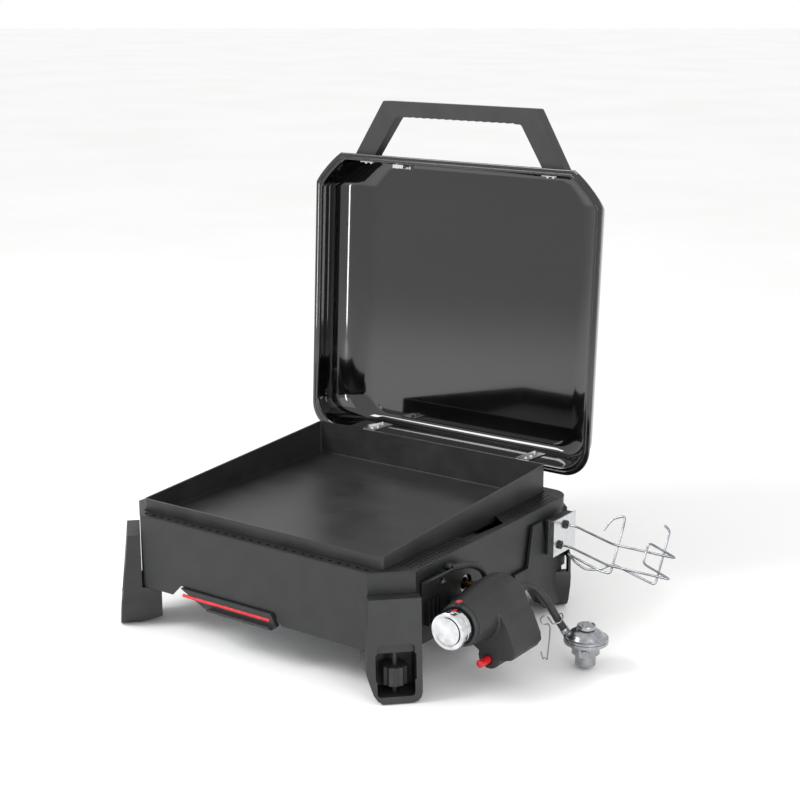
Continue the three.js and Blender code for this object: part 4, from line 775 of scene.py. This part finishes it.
def rack_frame():
    yu, zu = EYE_UPPER
    yl, zl = EYE_LOWER
    knots = [
        (RACK_X - 8, yu, zu), (DROP_X0, yu, zu), (DROP_X1, yu, zu - RAIL_DROP),
        (RAIL_END, yu, zu - RAIL_DROP), (RAIL_END - TIP_BACK, yu, zu - RAIL_DROP + TIP_RISE),
        (RAIL_END - TIP_BACK, yl, zl - RAIL_DROP + TIP_RISE), (RAIL_END, yl, zl - RAIL_DROP),
        (DROP_X1, yl, zl - RAIL_DROP), (DROP_X0, yl, zl), (RACK_X - 8, yl, zl)]
    bm = bar_mesh(rounded_path([at(*k) for k in knots], 7), WIRE_R)
    piece("rack_frame_bar", bm, "base", BRIGHT, ("rack_frame_wire",), smooth=60)


def rack_cradle():
    run_y = EYE_LOWER[0] - EYE_UPPER[0]
    run_z = EYE_LOWER[1] - EYE_UPPER[1]
    reach = math.hypot(run_y, run_z)
    ay, az = run_y / reach, run_z / reach
    behind = 2 * WIRE_R + 0.3

    def spot(x, distance):
        return at(x, EYE_UPPER[0] + ay * distance - az * behind,
                  EYE_UPPER[1] - RAIL_DROP + az * distance + ay * behind)

    inner = DROP_X1 + 6
    outer = inner + 73
    first = [spot(inner - 30, -18), spot(inner - 20, -38), spot(inner - 2, -46), spot(inner, -30),
             spot(inner, 43), spot(inner - 18, 42), spot(inner - 76, 28)]
    second = [spot(inner - 74, 28.6), spot(inner - 60, 38), spot(inner - 40, 45), spot(inner - 18, 40),
              spot(inner, 28), spot(outer, 44), spot(outer, -38), spot(outer - 10, -44)]
    bm = bar_mesh(rounded_path(first, 6), WIRE_R)
    merge(bm, bar_mesh(rounded_path(second, 6), WIRE_R))
    piece("rack_cradle_bar", bm, "base", BRIGHT, ("rack_cradle_wire",), smooth=60,
          recalc=False)


def hose_hook():
    origin = (362, -2, 72)
    right = (0.814, 0.581)

    def spot(a, b, c):
        return at(origin[0] + right[0] * a + right[1] * b,
                  origin[1] + right[1] * a - right[0] * b, origin[2] + c)

    tail = [spot(-17.6, 4, -48), spot(-14.8, 4, -59), spot(-12.4, 4, -56), spot(-9, 4, -60),
            spot(-6.4, 5, -24), spot(-6.2, 7, -9)]
    ring = []
    for i in range(13):
        angle = -0.8 - i / 12 * 4.7
        ring.append(spot(-13.4 + 6 * math.cos(angle), 4 - i * 0.15, -1 + 6 * math.sin(angle)))
    band = [spot(-3, 9.5, -4), spot(7.5, 8.5, -2), spot(12, 3, 4), spot(11.5, -6, 5.5), spot(3, -11, 3),
            spot(-6, -10.5, 3)]
    bm = bar_mesh(rounded_path(tail + ring + band, 2.2, 5), 1.0)
    piece("hose_hook_wire", bm, "base", BRIGHT, ("hose_hook",), smooth=60)


# ---- turned pieces --------------------------------------------------------------------
KNOB = (308, -189, 103)
REG_X = 400
REG_Y = 21.5
KNOB_INDEX_IN = 16.8
KNOB_INDEX_UP = 24.7
BEZEL_INDEX_Y = -161.6
BEZEL_INDEX_UP = 33.9
BUTTON = (326, -138, 43)
DOME_Z = 43.9
CAP_Z = 59


def control_knob():
    """Turned metal cap with a rolled rim, over its skirt."""
    x, y, z = KNOB
    profile = [(0, 0.9), (17.6, 0.9), (19, 0.5), (20.4, -0.4), (22.6, -0.8), (24.6, -0.6), (25.7, 0.4),
               (26, 1.8), (26, 9.6), (25.7, 10.8), (24.8, 11.5), (23.9, 12), (23.7, 14), (24.3, 14.6),
               (24.5, 16), (24.5, 21.6), (24.1, 22), (4.1, 22), (4.1, 11.4), (0, 11.4)]
    bm = turned(profile, at(x, y, z), (0, 1, 0), 72)
    piece("control_knob_cap", bm, "knob", CHROME, ("control_knob",), smooth=35)


def index_mark(name, body, centre, size, edge):
    """A small red block with rounded edges: all measures in millimetres."""
    bm = bmesh.new()
    bmesh.ops.create_cube(bm, size=1)
    scale = Matrix.Diagonal((*(s * MM for s in size), 1))
    bmesh.ops.transform(bm, matrix=Matrix.Translation(at(*centre)) @ scale, verts=bm.verts)
    bmesh.ops.bevel(bm, geom=bm.edges[:], offset=edge * MM, offset_type="OFFSET", segments=2, profile=0.5,
                    affect="EDGES", material=-1)
    piece(name, bm, body, RED)


def knob_pointer():
    """Red index on the knob's rim and on the bezel above it."""
    x, y, z = KNOB
    index_mark("knob_index", "knob", (x, y + KNOB_INDEX_IN, z + KNOB_INDEX_UP), (3, 9.6, 1.2), 0.3)
    index_mark("bezel_index", "base", (x, BEZEL_INDEX_Y, z + BEZEL_INDEX_UP), (6.4, 8.4, 1.4), 0.4)


def igniter_button():
    profile = [(0, 0), (3.6, 0), (4.9, 0.4), (5.5, 1.2), (5.6, 2.2), (5.6, 24), (7.2, 24), (7.2, 25.5),
               (0, 25.5)]
    bm = turned(profile, at(*BUTTON), (0, 1, 0), 40)
    piece("igniter_button_cap", bm, "igniter", RED, ("igniter_button",), smooth=35)


def regulator_dome():
    """Bell of the regulator, with its rolled edge."""
    profile = [(0, 0), (30.6, 0), (31.3, 0.5), (31.5, 1.4), (31.2, 2.6), (30.2, 3.2), (27.6, 3.6),
               (26.4, 4.4), (24.4, 7.2), (22, 9.9), (18.6, 12.1), (15, 13.8), (12, 14.6), (0, 14.8)]
    bm = turned(profile, at(REG_X, REG_Y, DOME_Z), (0, 0, 1), 72)
    spigot = turned([(0, -20), (6.4, -20), (6.4, -3), (6, -1), (5.7, 0), (0, 0)],
                    at(REG_X - 29.1, REG_Y - 12.9, 56.7), Vector((-7.1, -7.5, 16.7)), 32)
    bmesh.ops.bisect_plane(spigot, geom=spigot.verts[:] + spigot.edges[:] + spigot.faces[:], dist=1e-7,
                           plane_co=(0, 0, DOME_Z * MM), plane_no=(0, 0, -1), clear_outer=True)
    bmesh.ops.holes_fill(spigot, edges=[e for e in spigot.edges if e.is_boundary])
    merge(bm, spigot)
    piece("regulator_dome_turned", bm, "base", ZINC, ("regulator_dome",), smooth=35,
          recalc=False)


def regulator_cap():
    """Vent cap with a raised rim and a dished middle."""
    profile = [(0, 0), (12.4, 0), (13, 0.6), (13, 4.6), (12.5, 5.6), (11.6, 6), (10.6, 5.6), (10, 4.9),
               (5.6, 4.9), (5, 5.5), (4.2, 5.6), (0, 5.2)]
    bm = turned(profile, at(REG_X, REG_Y, CAP_Z), (0, 0, 1), 56)
    piece("regulator_cap_turned", bm, "base", ZINC, ("regulator_cap",), smooth=35)


# ---- housing ------------------------------------------------------------------------
def moulded(node, voxel_mm, rounds):
    """A copy of a CAD solid remeshed and relaxed, as a soft-edged moulding, which stands for it."""
    bm = bmesh.new()
    bm.from_mesh(frame["nodes"][node].data)
    bmesh.ops.remove_doubles(bm, verts=bm.verts, dist=0.002 * MM)
    mesh = bpy.data.meshes.new(f"{node}_copy")
    bm.to_mesh(mesh)
    bm.free()
    made = bpy.data.objects.new(f"{node}_moulded", mesh)
    bpy.context.scene.collection.objects.link(made)
    remesh = made.modifiers.new("remesh", "REMESH")
    remesh.mode = "VOXEL"
    remesh.voxel_size = voxel_mm * MM
    relax = made.modifiers.new("relax", "SMOOTH")
    relax.factor = 0.5
    relax.iterations = rounds
    bpy.context.view_layer.update()
    result = bpy.data.meshes.new_from_object(made.evaluated_get(bpy.context.evaluated_depsgraph_get()))
    bpy.data.objects.remove(made)
    bm = bmesh.new()
    bm.from_mesh(result)
    bpy.data.meshes.remove(result)
    slot = SLOT_OF[node]
    return piece(f"{node}_moulded", bm, BODY_OF[node], FINISH[slot], (node,), smooth=60)


# ---- build -------------------------------------------------------------------------
lid_shell()
lid_handle()
griddle_plate()
top_frame()
rack_frame()
rack_cradle()
hose_hook()
control_knob()
knob_pointer()
igniter_button()
regulator_dome()
regulator_cap()
for moulding in ("housing_shell", "housing_cover"):
    moulded(moulding, 1.1, 6)
for foot in ("front_right", "front_left", "rear_right", "rear_left"):
    eased(f"leg_{foot}", 0.9)
    eased(f"foot_wheel_{foot}", 0.5)
    eased(f"foot_pad_{foot}", 0.4)
eased("regulator_body", 0.35)
eased("rack_mount", 0.8)
eased("rack_plate", 0.3, material=STAINLESS)
eased("knob_bezel", 0.4)
eased("tray_pull", 0.5)
eased("tray_accent", 0.4)
eased("side_bracket", 0.3)
eased("support_arm", 0.3)
eased("bracket_bolt", 0.25)
eased("firebox_shell", 0.35)
gas_hose()

SMALL_BRIGHT = (
    "hinge_screws_left", "hinge_screws_right", "handle_plate_left", "handle_plate_right", "latch_hook",
    "latch_bracket",
)
for node, made in frame["nodes"].items():
    made.data.materials.clear()
    made.data.materials.append(STAINLESS if node in SMALL_BRIGHT else FINISH[SLOT_OF[node]])


# ---- floor and light -------------------------------------------------------------------
def studio():
    bm = bmesh.new()
    bmesh.ops.create_grid(bm, x_segments=1, y_segments=1, size=80)
    mesh = bpy.data.meshes.new("floor")
    bm.to_mesh(mesh)
    bm.free()
    floor = bpy.data.objects.new("floor", mesh)
    floor.data.materials.append(studio_floor())
    bpy.context.scene.collection.objects.link(floor)
    world = bpy.data.worlds.new("studio")
    world.use_nodes = True
    world.node_tree.nodes["Background"].inputs["Color"].default_value = (1, 1, 1, 1)
    world.node_tree.nodes["Background"].inputs["Strength"].default_value = 1.0
    bpy.context.scene.world = world
    bpy.context.scene.view_settings.view_transform = "Standard"
    for name, place, aim, width, height, power in (
        ("key", (-1200, -1500, 1900), (0, 0, 150), 1.0, 1.0, 42),
        ("fill", (1900, -900, 1300), (0, 0, 200), 1.6, 1.6, 8),
        ("strip", (1500, -800, 420), (-200, 280, 420), 0.09, 0.75, 5),
    ):
        data = bpy.data.lights.new(name, "AREA")
        data.shape = "RECTANGLE"
        data.size = width
        data.size_y = height
        data.energy = power
        lamp = bpy.data.objects.new(name, data)
        lamp.location = at(*place)
        lamp.rotation_euler = (at(*aim) - at(*place)).to_track_quat("-Z", "Y").to_euler()
        bpy.context.scene.collection.objects.link(lamp)


studio()

bpy.context.view_layer.update()
